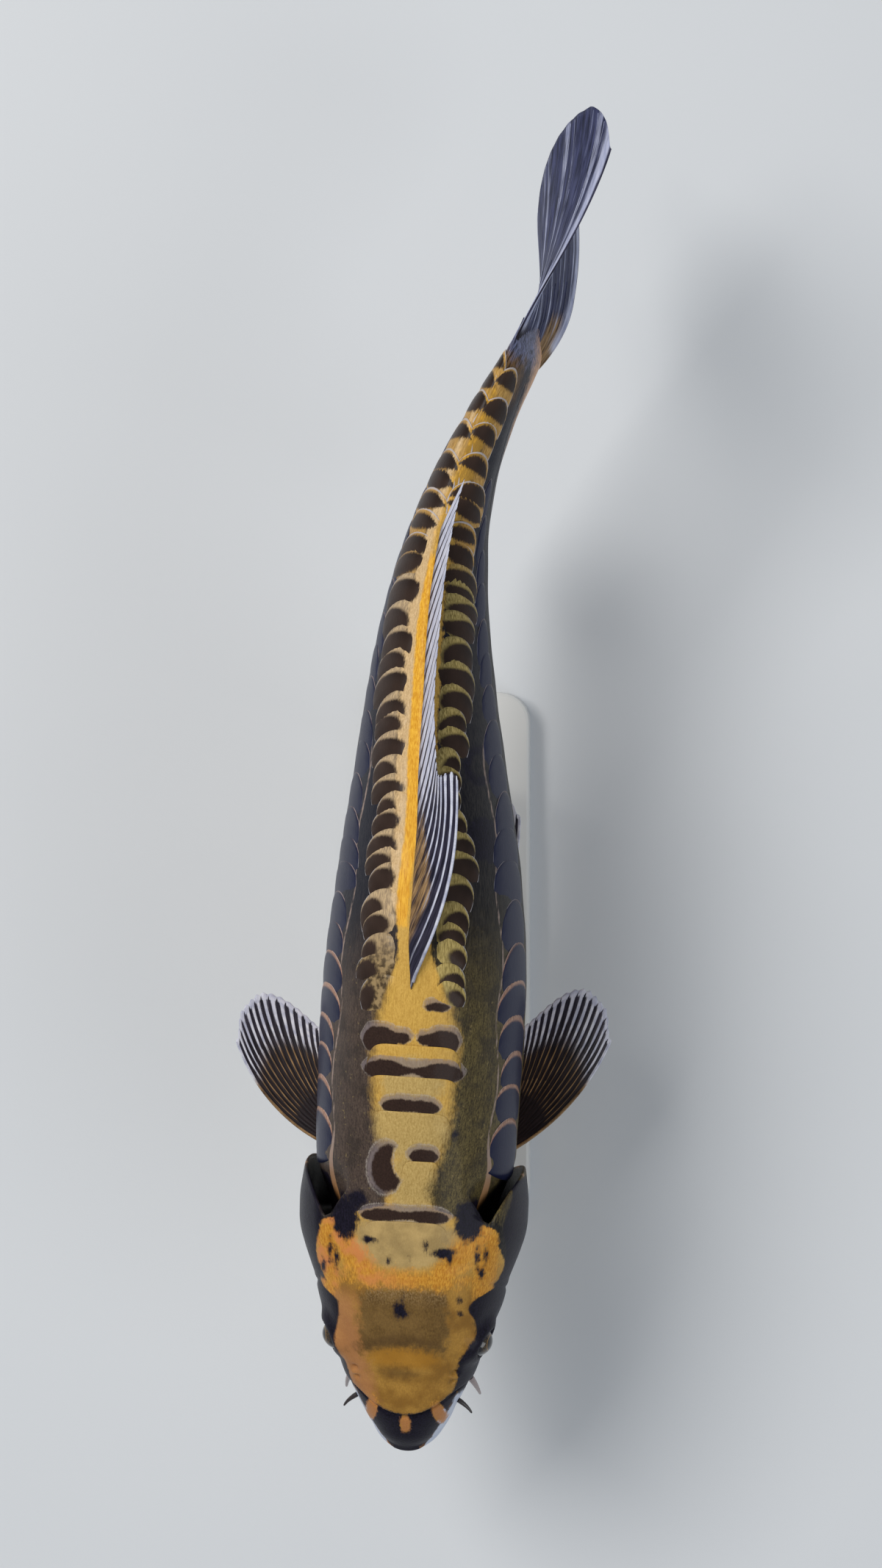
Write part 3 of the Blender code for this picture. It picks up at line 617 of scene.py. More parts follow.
def skin_colours():
    """The colour of the skin from its fields, for the skin and for what shows of it in the scales."""
    body = add("ShaderNodeAttribute", attribute_name="body").outputs["Vector"]
    gold, beige, dark = field("back_marks")
    orange, pale, under = field("face_marks")
    skull, moon, smudge = field("head_marks")
    pocket, cloud, line = field("pocket_marks")
    inside, side, _ = field("gill_shade_and_side")
    streak = noise(body, 1.0, 4, (0.16, 1.5, 1.5), 0.62)
    speckle = noise(body, 1.6, 3, (0.6, 1, 1), 0.6)
    blotch = noise(body, 0.11, 4)
    grainy = times(plus(streak, speckle), 0.5)
    tailward = add("ShaderNodeSeparateXYZ", {0: body}).outputs[0]
    ragged = plus(times(calc("SUBTRACT", streak, 0.5), 5.0),
                  times(calc("SUBTRACT", noise(body, 0.33, 3), 0.5), 5.0))

    def edge(value, soft=0.5, wander=1.0):
        moved = plus(value, times(ragged, wander))
        return between(moved, -soft, soft)

    # the flanks: near black and bluer to the right and the tail, beside the saddle olive with lengthwise
    # flecks, and on the root of the tail fin streaked like its rays
    cool = between(calc("SUBTRACT", tailward, times(side, 1.6)), 120, 400)
    flank = fade(streak, 0.34, 0.70, (20, 18, 20), (54, 50, 44))
    flank = mix(times(cool, 0.75), flank, mix(streak, (17, 18, 29), (38, 40, 56)))
    olive = fade(grainy, 0.38, 0.62, (58, 49, 32), (104, 91, 56))
    olive = fade(side, 5, -5, olive, fade(grainy, 0.35, 0.65, (58, 48, 44), (90, 76, 66)))
    olive = fade(blotch, 0.46, 0.66, olive, (44, 39, 36), 0.5)
    olive = mix(times(between(noise(body, 0.5, 2), 0.64, 0.74), 0.5), olive, (142, 124, 82))
    saddle = times(between(plus(tailward, times(ragged, 2.0)), 104, 112),
                   between(plus(tailward, times(ragged, 4.0)), 250, 190))
    flank = mix(saddle, flank, olive)
    tail_brown = fade(streak, 0.35, 0.6, (36, 28, 26), (112, 80, 42))
    flank = mix(times(between(tailward, 462, 476), between(calc("ABSOLUTE", side), 80, 55)), flank, tail_brown)
    at_tail = between(plus(tailward, times(ragged, 2.5)), 484, 492)
    flank = mix(at_tail, flank, fade(streak, 0.36, 0.62, (30, 31, 46), (116, 120, 150)))
    colour = flank
    # the underside
    blush = fade(under, 2, 26, (206, 158, 118), (226, 214, 192))
    blush = fade(blotch, 0.5, 0.7, blush, (190, 150, 96), 0.35)
    colour = mix(edge(under, 2.2, 0.8), colour, blush)
    # gold, beige and orange
    on_back = between(tailward, 74, 96)
    head_gold = fade(blotch, 0.34, 0.66, (140, 100, 42), (176, 132, 60))
    head_gold = fade(grainy, 0.62, 0.42, head_gold, (122, 88, 42), 0.35)
    rosy_cheek = times(between(plus(side, times(ragged, 3.0)), -16, -34), between(tailward, 80, 66))
    head_gold = mix(times(rosy_cheek, 0.65), head_gold, mix(grainy, (164, 106, 66), (190, 134, 92)))
    head_gold = mix(times(edge(moon, 2.0, 0.8), 0.7), head_gold, (166, 116, 40))
    skull_tone = fade(grainy, 0.28, 0.72, (80, 60, 34), (116, 90, 50))
    skull_tone = fade(blotch, 0.42, 0.62, skull_tone, (128, 100, 60), 0.35)
    skull_tone = mix(times(between(tailward, 66, 78), between(speckle, 0.4, 0.7)), skull_tone, (150, 124, 90))
    head_gold = mix(times(edge(skull, 2.6, 1.2), 0.9), head_gold, skull_tone)
    head_gold = mix(times(edge(smudge, 2.4, 0.9), 0.6), head_gold, (78, 57, 34))
    back_gold = fade(grainy, 0.3, 0.7, (180, 138, 62), (214, 172, 86))
    back_gold = fade(tailward, 395, 440, back_gold, mix(grainy, (122, 90, 38), (192, 148, 66)))
    gold_tone = mix(on_back, head_gold, back_gold)
    gold_tone = fade(streak, 0.62, 0.76, gold_tone, (122, 92, 46), 0.45)
    beside_fin = between(tailward, 205, 232)
    beige_tone = fade(grainy, 0.26, 0.74, mix(beside_fin, (160, 130, 72), (178, 146, 102)),
                     mix(beside_fin, (202, 172, 108), (228, 196, 148)))
    nape_tone = fade(blotch, 0.3, 0.7, (148, 124, 84), (192, 162, 108))
    beige_tone = fade(tailward, 118, 106, beige_tone, nape_tone, 0.7)
    orange_tone = fade(streak, 0.3, 0.7, mix(beside_fin, (176, 112, 34), (206, 140, 36)),
                      mix(beside_fin, (216, 158, 62), (242, 186, 66)))
    rosy = times(times(between(blotch, 0.40, 0.6), calc("SUBTRACT", 1.0, beside_fin)), between(side, 10, -20))
    orange_tone = mix(rosy, orange_tone, (206, 132, 74))
    gold_tone = mix(edge(beige, 2.4, 0.9), gold_tone, beige_tone)
    gold_tone = mix(edge(orange, 1.6, 0.9), gold_tone, orange_tone)
    before_fin = times(between(tailward, 110, 122), between(tailward, 212, 204))
    clear_edge = times(edge(gold, 1.0, 0.8), calc("SUBTRACT", 1.0, before_fin))
    colour = mix(plus(clear_edge, times(edge(gold, 3.4, 0.9), before_fin)), colour, gold_tone)
    # lips, dark patches, pockets, and painted shade in the hollow of the gills
    lip = mix(speckle, (160, 170, 194), (216, 220, 228))
    colour = mix(edge(pale, 1.0, 0.25), colour, lip)
    dark_tone = fade(grainy, 0.35, 0.7, (15, 13, 21), (34, 30, 45))
    colour = mix(edge(dark, 0.8, 0.55), colour, dark_tone)
    lip_spot = edge(calc("MINIMUM", orange, calc("SUBTRACT", 26.0, tailward)), 0.9, 0.5)
    colour = mix(lip_spot, colour, mix(speckle, (158, 100, 54), (196, 138, 82)))
    cloud_edge = plus(plus(cloud, 0.3), times(ragged, 0.10))
    outline = times(between(calc("ABSOLUTE", cloud_edge), 0.55, 0.1), between(speckle, 0.3, 0.7))
    colour = mix(times(edge(cloud, 1.2, 0.5), 0.7), colour, mix(streak, (92, 80, 80), (150, 138, 138)))
    colour = mix(times(outline, 0.5), colour, (178, 168, 156))
    colour = mix(edge(pocket, 0.55, 0.3), colour, mix(speckle, (28, 20, 18), (66, 48, 40)))
    line_tone = fade(tailward, 108, 140, (190, 132, 70), (168, 146, 134))
    colour = mix(times(edge(line, 0.28, 0.10), 0.75), colour, line_tone)
    # painted shade: the hollow of the gills, the cover's inner face and the shoulder under it go near black
    colour = mix(inside, colour, (7, 5, 7))
    return colour, body, streak, speckle


skin_finish, tree, shader = new_finish("koi_skin", 0.42, coat=0.06, coat_roughness=0.12, Specular_IOR_Level=0.08)
colour, body, streak, speckle = skin_colours()
leather = plus(times(noise(body, 1.1, 3), 0.7), times(streak, 0.5))
surface(colour, calc("MULTIPLY_ADD", speckle, 0.3, 0.25), leather, strength=0.35, distance=0.0004)

skin = new_piece("koi_skin", points, faces, skin_finish)
ends = (TIP_S, (0.0, 0.0), (0.0, 0.0), TIP_Z, (0.0, 0.0))
flat = [np.concatenate([np.ravel(values), end]) for values, end in
        zip((skin_s, side_angle, skin_x, skin_z, skin_gill_shade), ends)]
mark_mesh(skin.data, *flat)
UNWRAP_LENGTH = 540.0
UNWRAP_FROM, UNWRAP_SPAN = 0.01, 0.98
row_place = np.linspace(0, 1, rows)
row_map = 0.5 * row_place + 0.5 * np.clip(skin_s.mean(axis=1) + 2, 0, UNWRAP_LENGTH) / UNWRAP_LENGTH
unwrap = skin.data.uv_layers.new(name="OFBake")
corner_points = np.empty(len(skin.data.loops), np.int64)
skin.data.loops.foreach_get("vertex_index", corner_points)
corner_faces = np.repeat(np.arange(len(faces)), [len(face) for face in faces])
quads = (rows - 1) * COLUMNS
grid_row, grid_column = corner_points // COLUMNS, corner_points % COLUMNS
face_column = np.where(corner_faces < quads, corner_faces % COLUMNS, ((corner_faces - quads) // 2) % COLUMNS)
wrapped = np.where((face_column == COLUMNS - 1) & (grid_column == 0), COLUMNS, grid_column)
is_tip = corner_points >= rows * COLUMNS
map_u = np.where(is_tip, face_column + 0.5, wrapped) / COLUMNS
tip_v = np.where(corner_points == rows * COLUMNS, -0.004, 1.004)
map_v = np.where(is_tip, tip_v, row_map[np.minimum(grid_row, rows - 1)])
skin_map = UNWRAP_FROM + UNWRAP_SPAN * np.stack([map_u, map_v], -1)
unwrap.data.foreach_set("uv", skin_map.astype(np.float32).ravel())
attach(skin, "root")
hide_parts("head", "lower_jaw", "upper_lip", "gill_cover_left", "gill_cover_right",
            "trunk_front", "trunk_rear", "tail_stalk")

# ---------------------------------------------------------------- scales
# This strain keeps only rows of large mirror scales: one row down each side of the back fin, fused
# bars between nape and fin, and a row along each flank. Each is a thin curved plate of bone under
# clear skin, rooted at its head end, and its free hind edge lies over the next one.
PLATE_THICK = 0.35
PLATE_HIDDEN = 0.38  # the share of a plate's length that lies under the one before
PATCH_LONG, PATCH_WIDE = 0.0115, 0.030  # one scale's patch on the unwrap
UNWRAP_GIRTH = 330.0


def sheet_faces(rows, columns, first=0):
    """The faces of a closed sheet: a grid of points, the grid under it, and the rim between them."""
    count = rows * columns
    faces = []
    for i in range(rows - 1):
        for a in range(first + i * columns, first + (i + 1) * columns - 1):
            quad = (a, a + columns, a + columns + 1, a + 1)
            faces += [quad, tuple(count + corner for corner in reversed(quad))]
    rim = [(i, 0) for i in range(rows)] + [(rows - 1, j) for j in range(1, columns)]
    rim += [(i, columns - 1) for i in range(rows - 2, -1, -1)] + [(0, j) for j in range(columns - 2, 0, -1)]
    edge = [first + i * columns + j for i, j in rim]
    return faces + [(b, a, count + a, count + b) for a, b in zip(edge, edge[1:] + edge[:1])]


def new_plate(rows, columns, square, finish):
    """One closed plate, one unit long from root to free edge, one unit to each side and one thick.
    A higher power gives it a squarer free edge."""
    over = np.sin(np.linspace(-1.5, 1.5, columns)) / math.sin(1.5)
    share, across = np.meshgrid(np.linspace(0, 1, rows) ** 0.85, over, indexing="ij")
    free_edge = 0.52 + 0.48 * np.sqrt(np.clip(1 - np.abs(across) ** square, 0, 1))
    root_edge = 0.16 * np.abs(across) ** 1.8
    along = root_edge + (free_edge - root_edge) * share
    crown = 0.5 * (1 - across**2) * np.sin(share * math.pi * 0.9) ** 0.7
    points = np.concatenate([np.stack([along, across, crown - under], -1).reshape(-1, 3) for under in (0.0, 1.0)])
    plate = new_piece("one_scale", points, sheet_faces(rows, columns), finish)
    on_plate = [np.stack([share, across, top + 0 * share], -1).reshape(-1, 3) for top in (1.0, 0.0)]
    fill_attribute(plate.data, "on_plate", np.concatenate(on_plate))
    return plate


scale_finish, tree, shader = new_finish("koi_scale", 0.35, coat=0.06, coat_roughness=0.1, Specular_IOR_Level=0.07)
skin_tone, body, _, _ = skin_colours()
dark_inside, rim_near, kind_of = field("plate_marks")
on_plate = add("ShaderNodeAttribute", attribute_name="on_plate").outputs["Vector"]
rays = noise(body, 1.0, 4, (0.3, 1.7, 1.7), 0.6)
softness = noise(on_plate, 0.45, 3)
flank_kind = between(kind_of, 1.4, 1.6)
tail_kind = times(between(kind_of, 0.2, 0.8), calc("SUBTRACT", 1.0, flank_kind))
fringe = calc("MULTIPLY_ADD", tail_kind, 2.0, 2.4)
ragged = plus(times(calc("SUBTRACT", rays, 0.5), fringe),
              times(calc("SUBTRACT", softness, 0.5), 1.8))
inner = plus(dark_inside, ragged)
beige_tone = fade(rays, 0.3, 0.7, (140, 120, 98), (206, 178, 136))
olive_tone = fade(rays, 0.3, 0.7, (118, 102, 56), (190, 168, 106))
rich_tone = fade(rays, 0.3, 0.7, (146, 108, 50), (204, 162, 92))
left_side = between(field("gill_shade_and_side")[1], -5, 5)
along_body = add("ShaderNodeSeparateXYZ", {0: body}).outputs[0]
origin_tone = mix(between(noise(body, 0.4, 4), 0.38, 0.62), (76, 62, 44), (154, 130, 92))
beige_tone = fade(along_body, 240, 215, beige_tone, origin_tone)
gold_tone = mix(tail_kind, mix(left_side, beige_tone, olive_tone), rich_tone)
gold_tone = mix(between(field("back_marks")[0], -1.0, 1.0), gold_tone, skin_tone)
flank_tone = fade(rays, 0.35, 0.65, (134, 98, 84), (186, 148, 124))
gold_tone = mix(flank_kind, gold_tone, flank_tone)
deep_tone = fade(softness, 0.3, 0.7, (24, 17, 15), (70, 54, 46))
fleck = times(between(noise(on_plate, 0.32, 3), 0.58, 0.70), 0.6)
deep_tone = mix(fleck, deep_tone, (150, 108, 52))
deep_tone = mix(flank_kind, deep_tone, mix(softness, (15, 17, 35), (38, 42, 72)))
shade = fade(inner, -0.7, 0.8, gold_tone, deep_tone)
rim_line = times(between(rim_near, 0.62, 0.2), calc("MULTIPLY_ADD", flank_kind, -0.35, 0.75))
shade = mix(rim_line, shade, (196, 192, 196))
growth = {"Vector": on_plate, "Scale": 1.1, "Distortion": 1.5, "Detail": 2.0}
growth_rings = add("ShaderNodeTexWave", growth, wave_type="BANDS", bands_direction="X").outputs["Fac"]
surface(shade, calc("MULTIPLY_ADD", softness, 0.25, 0.2), plus(times(growth_rings, 0.35), rays))


def node_group(name, *inputs):
    """An empty Geometry Nodes tree that takes a geometry and the named inputs."""
    group = bpy.data.node_groups.new(name, "GeometryNodeTree")
    group.interface.new_socket("Geometry", in_out="OUTPUT", socket_type="NodeSocketGeometry")
    group.interface.new_socket("Geometry", in_out="INPUT", socket_type="NodeSocketGeometry")
    for label, kind in inputs:
        group.interface.new_socket(label, in_out="INPUT", socket_type="NodeSocket" + kind)
    return group, group.nodes.new("NodeGroupInput").outputs


def end_group(geometry, finish):
    """Closes the tree in hand with Realize Instances and Set Material."""
    solid = add("GeometryNodeRealizeInstances", {"Geometry": geometry}).outputs[0]
    painted = add("GeometryNodeSetMaterial", {"Geometry": solid, "Material": finish}).outputs[0]
    add("NodeGroupOutput", {"Geometry": painted})
    return tree


def grow(name, seed_mesh, group, **values):
    """The plain mesh that a tree makes from the seed mesh, as a new object."""
    piece = bpy.data.objects.new(name, seed_mesh)
    bpy.context.scene.collection.objects.link(piece)
    modifier = piece.modifiers.new(group.name, "NODES")
    modifier.node_group = group
    for item in group.interface.items_tree:
        if item.in_out == "INPUT" and item.name in values:
            modifier[item.identifier] = values[item.name]
    bpy.context.view_layer.update()
    made = bpy.data.meshes.new_from_object(piece.evaluated_get(bpy.context.evaluated_depsgraph_get()))
    piece.modifiers.remove(modifier)
    piece.data = made
    made.name = name
    return piece


def named(name):
    return add("GeometryNodeInputNamedAttribute", {"Name": name}, data_type="FLOAT").outputs["Attribute"]


tree, given = node_group("scale_rows", ("Plate", "Object"), ("Thickness", "Float"), ("Finish", "Material"))
one = add("GeometryNodeObjectInfo", {"Object": given["Plate"], "As Instance": False}).outputs["Geometry"]
plate_size = add("ShaderNodeCombineXYZ", {0: named("length"), 1: named("reach"), 2: given["Thickness"]}).outputs[0]
turned = add("ShaderNodeCombineXYZ", {2: named("turn")}).outputs[0]
laid = add("GeometryNodeInstanceOnPoints", {
    "Points": given["Geometry"], "Instance": one, "Rotation": turned, "Scale": plate_size}).outputs[0]
scale_tree = end_group(laid, given["Finish"])

# The girth of the body: how far round from the back a point lies, and back again.
GIRTH_ROWS = 200
GIRTH_S = np.linspace(0, BODY_LENGTH, GIRTH_ROWS)
GIRTH_ANGLE = np.radians(np.linspace(0, 180, 181))
_, ring_x, ring_z = section(GIRTH_S[:, None], GIRTH_ANGLE[None, :])
ring_steps = np.hypot(np.diff(ring_x), np.diff(ring_z))
girth_to = np.concatenate([np.zeros((GIRTH_ROWS, 1)), np.cumsum(ring_steps, axis=1)], axis=1)
GIRTH_STEPS = np.linspace(0, 200, 401)  # every half millimetre
angle_at_girth = np.stack([np.interp(GIRTH_STEPS, reached, GIRTH_ANGLE) for reached in girth_to])


def round_to(s, girth):
    """The angle round the body at a distance from the back's middle line, plus on the left."""
    row = np.clip(s / BODY_LENGTH * (GIRTH_ROWS - 1), 0, GIRTH_ROWS - 1.001)
    step = np.clip(np.abs(girth) * 2, 0, 399.999)
    i, j = row.astype(int), step.astype(int)
    u, v = row - i, step - j
    near = angle_at_girth[i, j] * (1 - v) + angle_at_girth[i, j + 1] * v
    far = angle_at_girth[i + 1, j] * (1 - v) + angle_at_girth[i + 1, j + 1] * v
    return np.sign(girth) * (near * (1 - u) + far * u)


def girth_of(s, degrees):
    """How far round from the back's middle line an angle lies, in millimetres."""
    at = np.interp(s, GIRTH_S, np.arange(GIRTH_ROWS))
    i = int(min(at, GIRTH_ROWS - 2))
    reached = [np.interp(math.radians(abs(degrees)), GIRTH_ANGLE, girth_to[k]) for k in (i, i + 1)]
    return math.copysign(reached[0] + (reached[1] - reached[0]) * (at - i), degrees)


# Each scale: free edge along the body, middle and half width round the girth, length, turn,
# width of its gold band, kind (0 back, 1 tail, 2 flank), and the side it faces.
ROW_FROM, ROW_TO = 213.0, 490.0
FLANK_FROM, FLANK_TO = 152.0, 450.0
rng = np.random.default_rng(7)
scales = []
ROW_EDGES = {  # from the snout: inner and outer edge of the row beside the fin, degrees from the back
    -1: ((206, 11, 30), (225, 13, 36), (244, 14, 39), (266, 13, 42), (284, 13, 44), (303, 12, 42), (320, 12, 48),
         (340, 12, 58), (380, 12, 64), (410, 8, 68), (440, 3, 68), (475, 0, 56), (490, 0, 50)),
    1: ((206, 7, 25), (225, 8, 29), (244, 8, 29), (266, 8, 33), (284, 8, 29), (303, 7, 26), (320, 8, 34),
        (340, 10, 44), (360, 10, 54), (380, 9, 58), (410, 4, 60), (440, 1, 60), (475, 0, 56), (490, 0, 50)),
}
for side, edges in ROW_EDGES.items():
    inner_edge, outer_edge = through(edges, 1), through(edges, 2)
    free_s = ROW_FROM
    while free_s < ROW_TO:
        pitch = (9.0 + 2.6 * ease(free_s, 400, 450)) * rng.uniform(0.72, 1.28)
        inner = girth_of(free_s, float(inner_edge(free_s)))
        outer = girth_of(free_s, float(outer_edge(free_s))) * (rng.uniform(0.84, 1.10) + 0.02)
        tail_kind = ease(free_s, 372, 412)
        turn = math.radians(20 - 12 * tail_kind + rng.uniform(-7, 7))
        band = rng.uniform(0.9, 1.9) + 0.7 * (side > 0)
        length = pitch / (1 - PLATE_HIDDEN) + 2.5
        scales.append((free_s, side * (inner + outer) / 2, (outer - inner) / 2 + 1.2, length, side * turn, band,
                       tail_kind, side))
        free_s += pitch
for side in (-1, 1):
    free_s = FLANK_FROM
    while free_s < FLANK_TO:
        pitch = (13.2 + 2.5 * (side > 0)) * rng.uniform(0.9, 1.12)
        inner = girth_of(free_s, 50 + 3 * math.sin(free_s / 9))
        outer = girth_of(free_s, 84)
        reach = (outer - inner) / 2 * (1 - 0.5 * ease(free_s, 250, 450))
        length = pitch / (1 - PLATE_HIDDEN) + 3
        scales.append((free_s, side * (inner + outer) / 2, reach, length, side * rng.uniform(-0.06, 0.14),
                       rng.uniform(1.6, 2.8), 2.0, side))
        free_s += pitch
SADDLE = (  # the fused plates on the back's line: free edge, middle, half width, length
    (106.8, 0.0, 20.0, 26), (134.0, 6.2, 8.6, 22), (155.3, 0.0, 19.0, 22), (170.6, 0.0, 22.6, 24),
    (184.2, 0.0, 21.8, 24),
)


def read_points(mesh, name, width=1):
    """A mesh's attribute, as a number or a row of numbers for each of its points."""
    values = np.empty(len(mesh.vertices) * width, np.float32)
    mesh.attributes[name].data.foreach_get("value" if width == 1 else "vector", values)
    return values.astype(float).reshape(-1, width).squeeze()


def lay_scales(name, scales, plate, finish, rise):
    """Lays a plate for every row of the list flat, then wraps them all on the body."""
    free_at, girth_at, reach_at, length_at, turn_at, band_at, kind_at, side_at = np.array(scales, float).T
    roots = [free_at - length_at * np.cos(turn_at), girth_at - length_at * np.sin(turn_at) * 0.9, 0 * free_at]
    seeds = bpy.data.meshes.new("scale_roots")
    seeds.from_pydata(np.stack(roots, -1).tolist(), [], [])
    for label, values in (("length", length_at), ("reach", reach_at), ("turn", turn_at), ("band", band_at),
                          ("kind", kind_at), ("faces", side_at), ("number", np.arange(len(free_at)))):
        fill_attribute(seeds, label, values)
    piece = grow(name, seeds, scale_tree, Plate=plate, Thickness=1.0, Finish=finish)
    bpy.data.objects.remove(plate)
    coat = piece.data
    flat_at = np.empty(len(coat.vertices) * 3, np.float32)
    coat.vertices.foreach_get("co", flat_at)
    s, girth, height = flat_at.astype(float).reshape(-1, 3).T
    share, across, top_side = read_points(coat, "on_plate", 3).T
    length, reach, band, kind, faces = (
        read_points(coat, label) for label in ("length", "reach", "band", "kind", "faces"))
    number = read_points(coat, "number").round().astype(int)
    on_flank, tail_share = kind > 1.5, np.clip(kind, 0, 1)
    outward = np.where(faces == 0, np.abs(across), across * faces)  # -1 at the fin's side, 1 down the flank
    edge_near = np.minimum((1 - share) * length, (1 - np.abs(across)) * reach * 1.4)
    lift = rise - 0.95 + (1.15 - 0.3 * on_flank) * ease(share, -0.1, 0.7)
    lift += 0.3 * (height + 1 - top_side) - PLATE_THICK * (1 - top_side)
    lift -= 0.22 * top_side * ease(edge_near, 0.8, 0) + 0.3 * ease(np.abs(across), 0.75, 1.0)
    lift -= 0.8 * (faces != 0) * ~on_flank * (1 - tail_share) * ease(outward, -0.35, -0.85)
    angle = round_to(s, girth)
    _, x, z = section(s, angle, lift)
    coat.vertices.foreach_set("co", place(s, x, z).astype(np.float32).ravel())
    coat.update()
    _, bare_x, bare_z = section(s, angle)
    side = np.degrees(angle)
    mark_mesh(coat, s, side, bare_x, bare_z, 0 * s, (0.8 - share) * (faces == 0))
    # the plate's own marks: how far inside the dark middle, how far from its edge, its kind
    from_free = (1 - share) * length * 0.94
    dark_back = from_free - band * (2.7 - 2.0 * ease(outward, -0.8, 0.6))
    inner_angle = np.where(faces < 0, 17.5 + 3 * ease(s, 275, 240), 9.0)
    medial_limit = np.radians(np.abs(side) - inner_angle) * 0.9 * half_width(s)
    medial_limit += 1.8 * np.sin(number * 2.7) - 1.0 * ease(s, 240, 218)
    root_limit = 2.2 + (share - PLATE_HIDDEN + 0.3 - 0.3 * np.sqrt(1 - across**2)) * length
    dark_back = meet(meet(dark_back, medial_limit, 6.0), root_limit, 4.0) - 0.8 * ease(s, 236, 216)
    dark_tail = overlap(from_free - 1.5, 9.4 - 1.2 * across**2 - from_free)
    dark_tail += 0.7 * np.sin(number * 1.9) - 2.6 * ease(np.abs(across), 0.5, 0.98)
    dark_flank = from_free - band * ease(s, 240, 205)
    dark = np.where(on_flank, dark_flank, dark_back * (1 - tail_share) + dark_tail * tail_share)
    rim = edge_near + 2.0 * (1 - tail_share) * ~on_flank * ease(outward, 0.5, -0.2)
    rim += 0.35 * on_flank * ease(outward, -0.8, 0.2) - 0.5 * tail_share * ~on_flank
    fill_attribute(coat, "plate_marks", np.stack([dark, rim, kind], -1))
    fill_attribute(coat, "on_plate", np.stack([from_free, across * reach, number * 7.3], -1))
    # its unwrap: every scale is a patch at its own place on the skin's unwrap, clear of the next
    coat_map = coat.uv_layers.new(name="OFBake")
    loops = np.empty(len(coat.loops), np.int64)
    coat.loops.foreach_get("vertex_index", loops)
    map_u = 0.5 + girth_at[number] / UNWRAP_GIRTH + across * PATCH_WIDE * 0.5 * np.clip(reach / 16, 0.4, 1.3)
    map_v = UNWRAP_FROM + UNWRAP_SPAN * (free_at[number] + 2) / UNWRAP_LENGTH
    map_v += (share - 1) * PATCH_LONG * (1 + 0.5 * on_flank)
    coat_map.data.foreach_set("uv", np.stack([map_u[loops], map_v[loops]], -1).astype(np.float32).ravel())
    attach(piece, "root")


lay_scales("koi_scales", scales, new_plate(13, 15, 2.1, scale_finish), scale_finish, 0.1)
saddle = [(free_s, at, reach, length, 0.0, 0.0, 0.0, 0.0) for free_s, at, reach, length in SADDLE]
lay_scales("koi_saddle_scales", saddle, new_plate(41, 61, 7.0, skin_finish), skin_finish, 0.0)

# ---------------------------------------------------------------- eyes
# A clear domed ball in each socket: a black pupil in a thin gold ring, and a dark iris flecked with
# brass that darkens to a bluish rim under the skin.
EYE_RINGS, EYE_ROUND = 56, 64
EYE_FACES = (-0.10, 0.95, 0.26)  # the way it looks, in body coordinates
EYE_DOME = 0.035  # how much further the clear front stands out

eye_finish, tree, shader = new_finish("eye_glass", roughness=0.14, coat=0.8, coat_roughness=0.10, IOR=1.36)
off_axis, turn_round, turn_cross = field("on_eye")
iris_at = add("ShaderNodeCombineXYZ", {0: times(off_axis, 0.09), 1: turn_round, 2: turn_cross}).outputs[0]
fibres = noise(iris_at, 2.6, 4)
iris = fade(fibres, 0.40, 0.66, (24, 19, 17), (92, 70, 38))
iris = fade(off_axis, 38, 56, iris, (22, 22, 28))
iris = fade(off_axis, 62, 74, iris, (16, 16, 22))
wander = plus(off_axis, times(fibres, 3.0))
iris = fade(wander, 31, 29.4, iris, (140, 106, 52))
iris = fade(off_axis, 26.6, 25.8, iris, (5, 5, 6))
surface(iris)

tilt_of = np.radians(np.linspace(0, 180, EYE_RINGS))[1:-1, None]
round_of = (np.arange(EYE_ROUND) * 2 * math.pi / EYE_ROUND)[None, :]
ball_faces = [(face[0], *face[:0:-1]) for face in loft_faces(EYE_RINGS - 2, EYE_ROUND)]
for side_name, side in (("left", 1.0), ("right", -1.0)):
    centre = place(EYE_AT[0], side * EYE_AT[1], EYE_AT[2])
    ahead, outward, up = np.add(EYE_AT, EYE_FACES)
    aim = place(ahead, side * outward, up) - centre
    aim /= np.linalg.norm(aim)
    first = np.cross(aim, [0, 0, 1.0])
    first /= np.linalg.norm(first)
    second = np.cross(aim, first)
    swell = EYE_RADIUS * MM * (1 + EYE_DOME * mound(tilt_of / 0.6))[..., None]
    spread = np.cos(round_of)[..., None] * first + np.sin(round_of)[..., None] * second
    ball = centre + swell * (np.cos(tilt_of)[..., None] * aim + np.sin(tilt_of)[..., None] * spread)
    poles = np.stack([centre + EYE_RADIUS * MM * (1 + EYE_DOME) * aim, centre - EYE_RADIUS * MM * aim])
    ball_points = np.concatenate([ball.reshape(-1, 3), poles])
    eye = new_piece("koi_eye_" + side_name, ball_points, ball_faces, eye_finish)
    on_eye = np.stack(np.broadcast_arrays(np.degrees(tilt_of), 4 * np.cos(round_of), 4 * np.sin(round_of)), -1)
    fill_attribute(eye.data, "on_eye", np.concatenate([on_eye.reshape(-1, 3), [(0, 0, 0), (180, 0, 0)]]))
    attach(eye, "root")
    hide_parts("eye_" + side_name)

# ---------------------------------------------------------------- fins
# Each fin is a thin dark web of skin over bony rays. The rays leave the body single, part into two
# and then four toward the margin, and are jointed across like bamboo. The web ends just short of them.
FIN_SINK = 0.06  # the share of a ray's length that is sunk in the body
GAP = 0.4  # how far the roots of fins and barbels stand off the body
RAYS_SPARE, FIRST_RAY = 0.35, 0.15  # ray k stands at u = (k + FIRST_RAY) / (rays - RAYS_SPARE)
RAY_END = 0.985  # where along v the rays end
WEB_PER_RAY, WEB_STEPS = 7, 46
WEB_MARGIN, WEB_ROOT = 0.16, 0.55  # half the web's thickness, in millimetres
DORSAL_FROM, DORSAL_TO = 213.0, 409.0


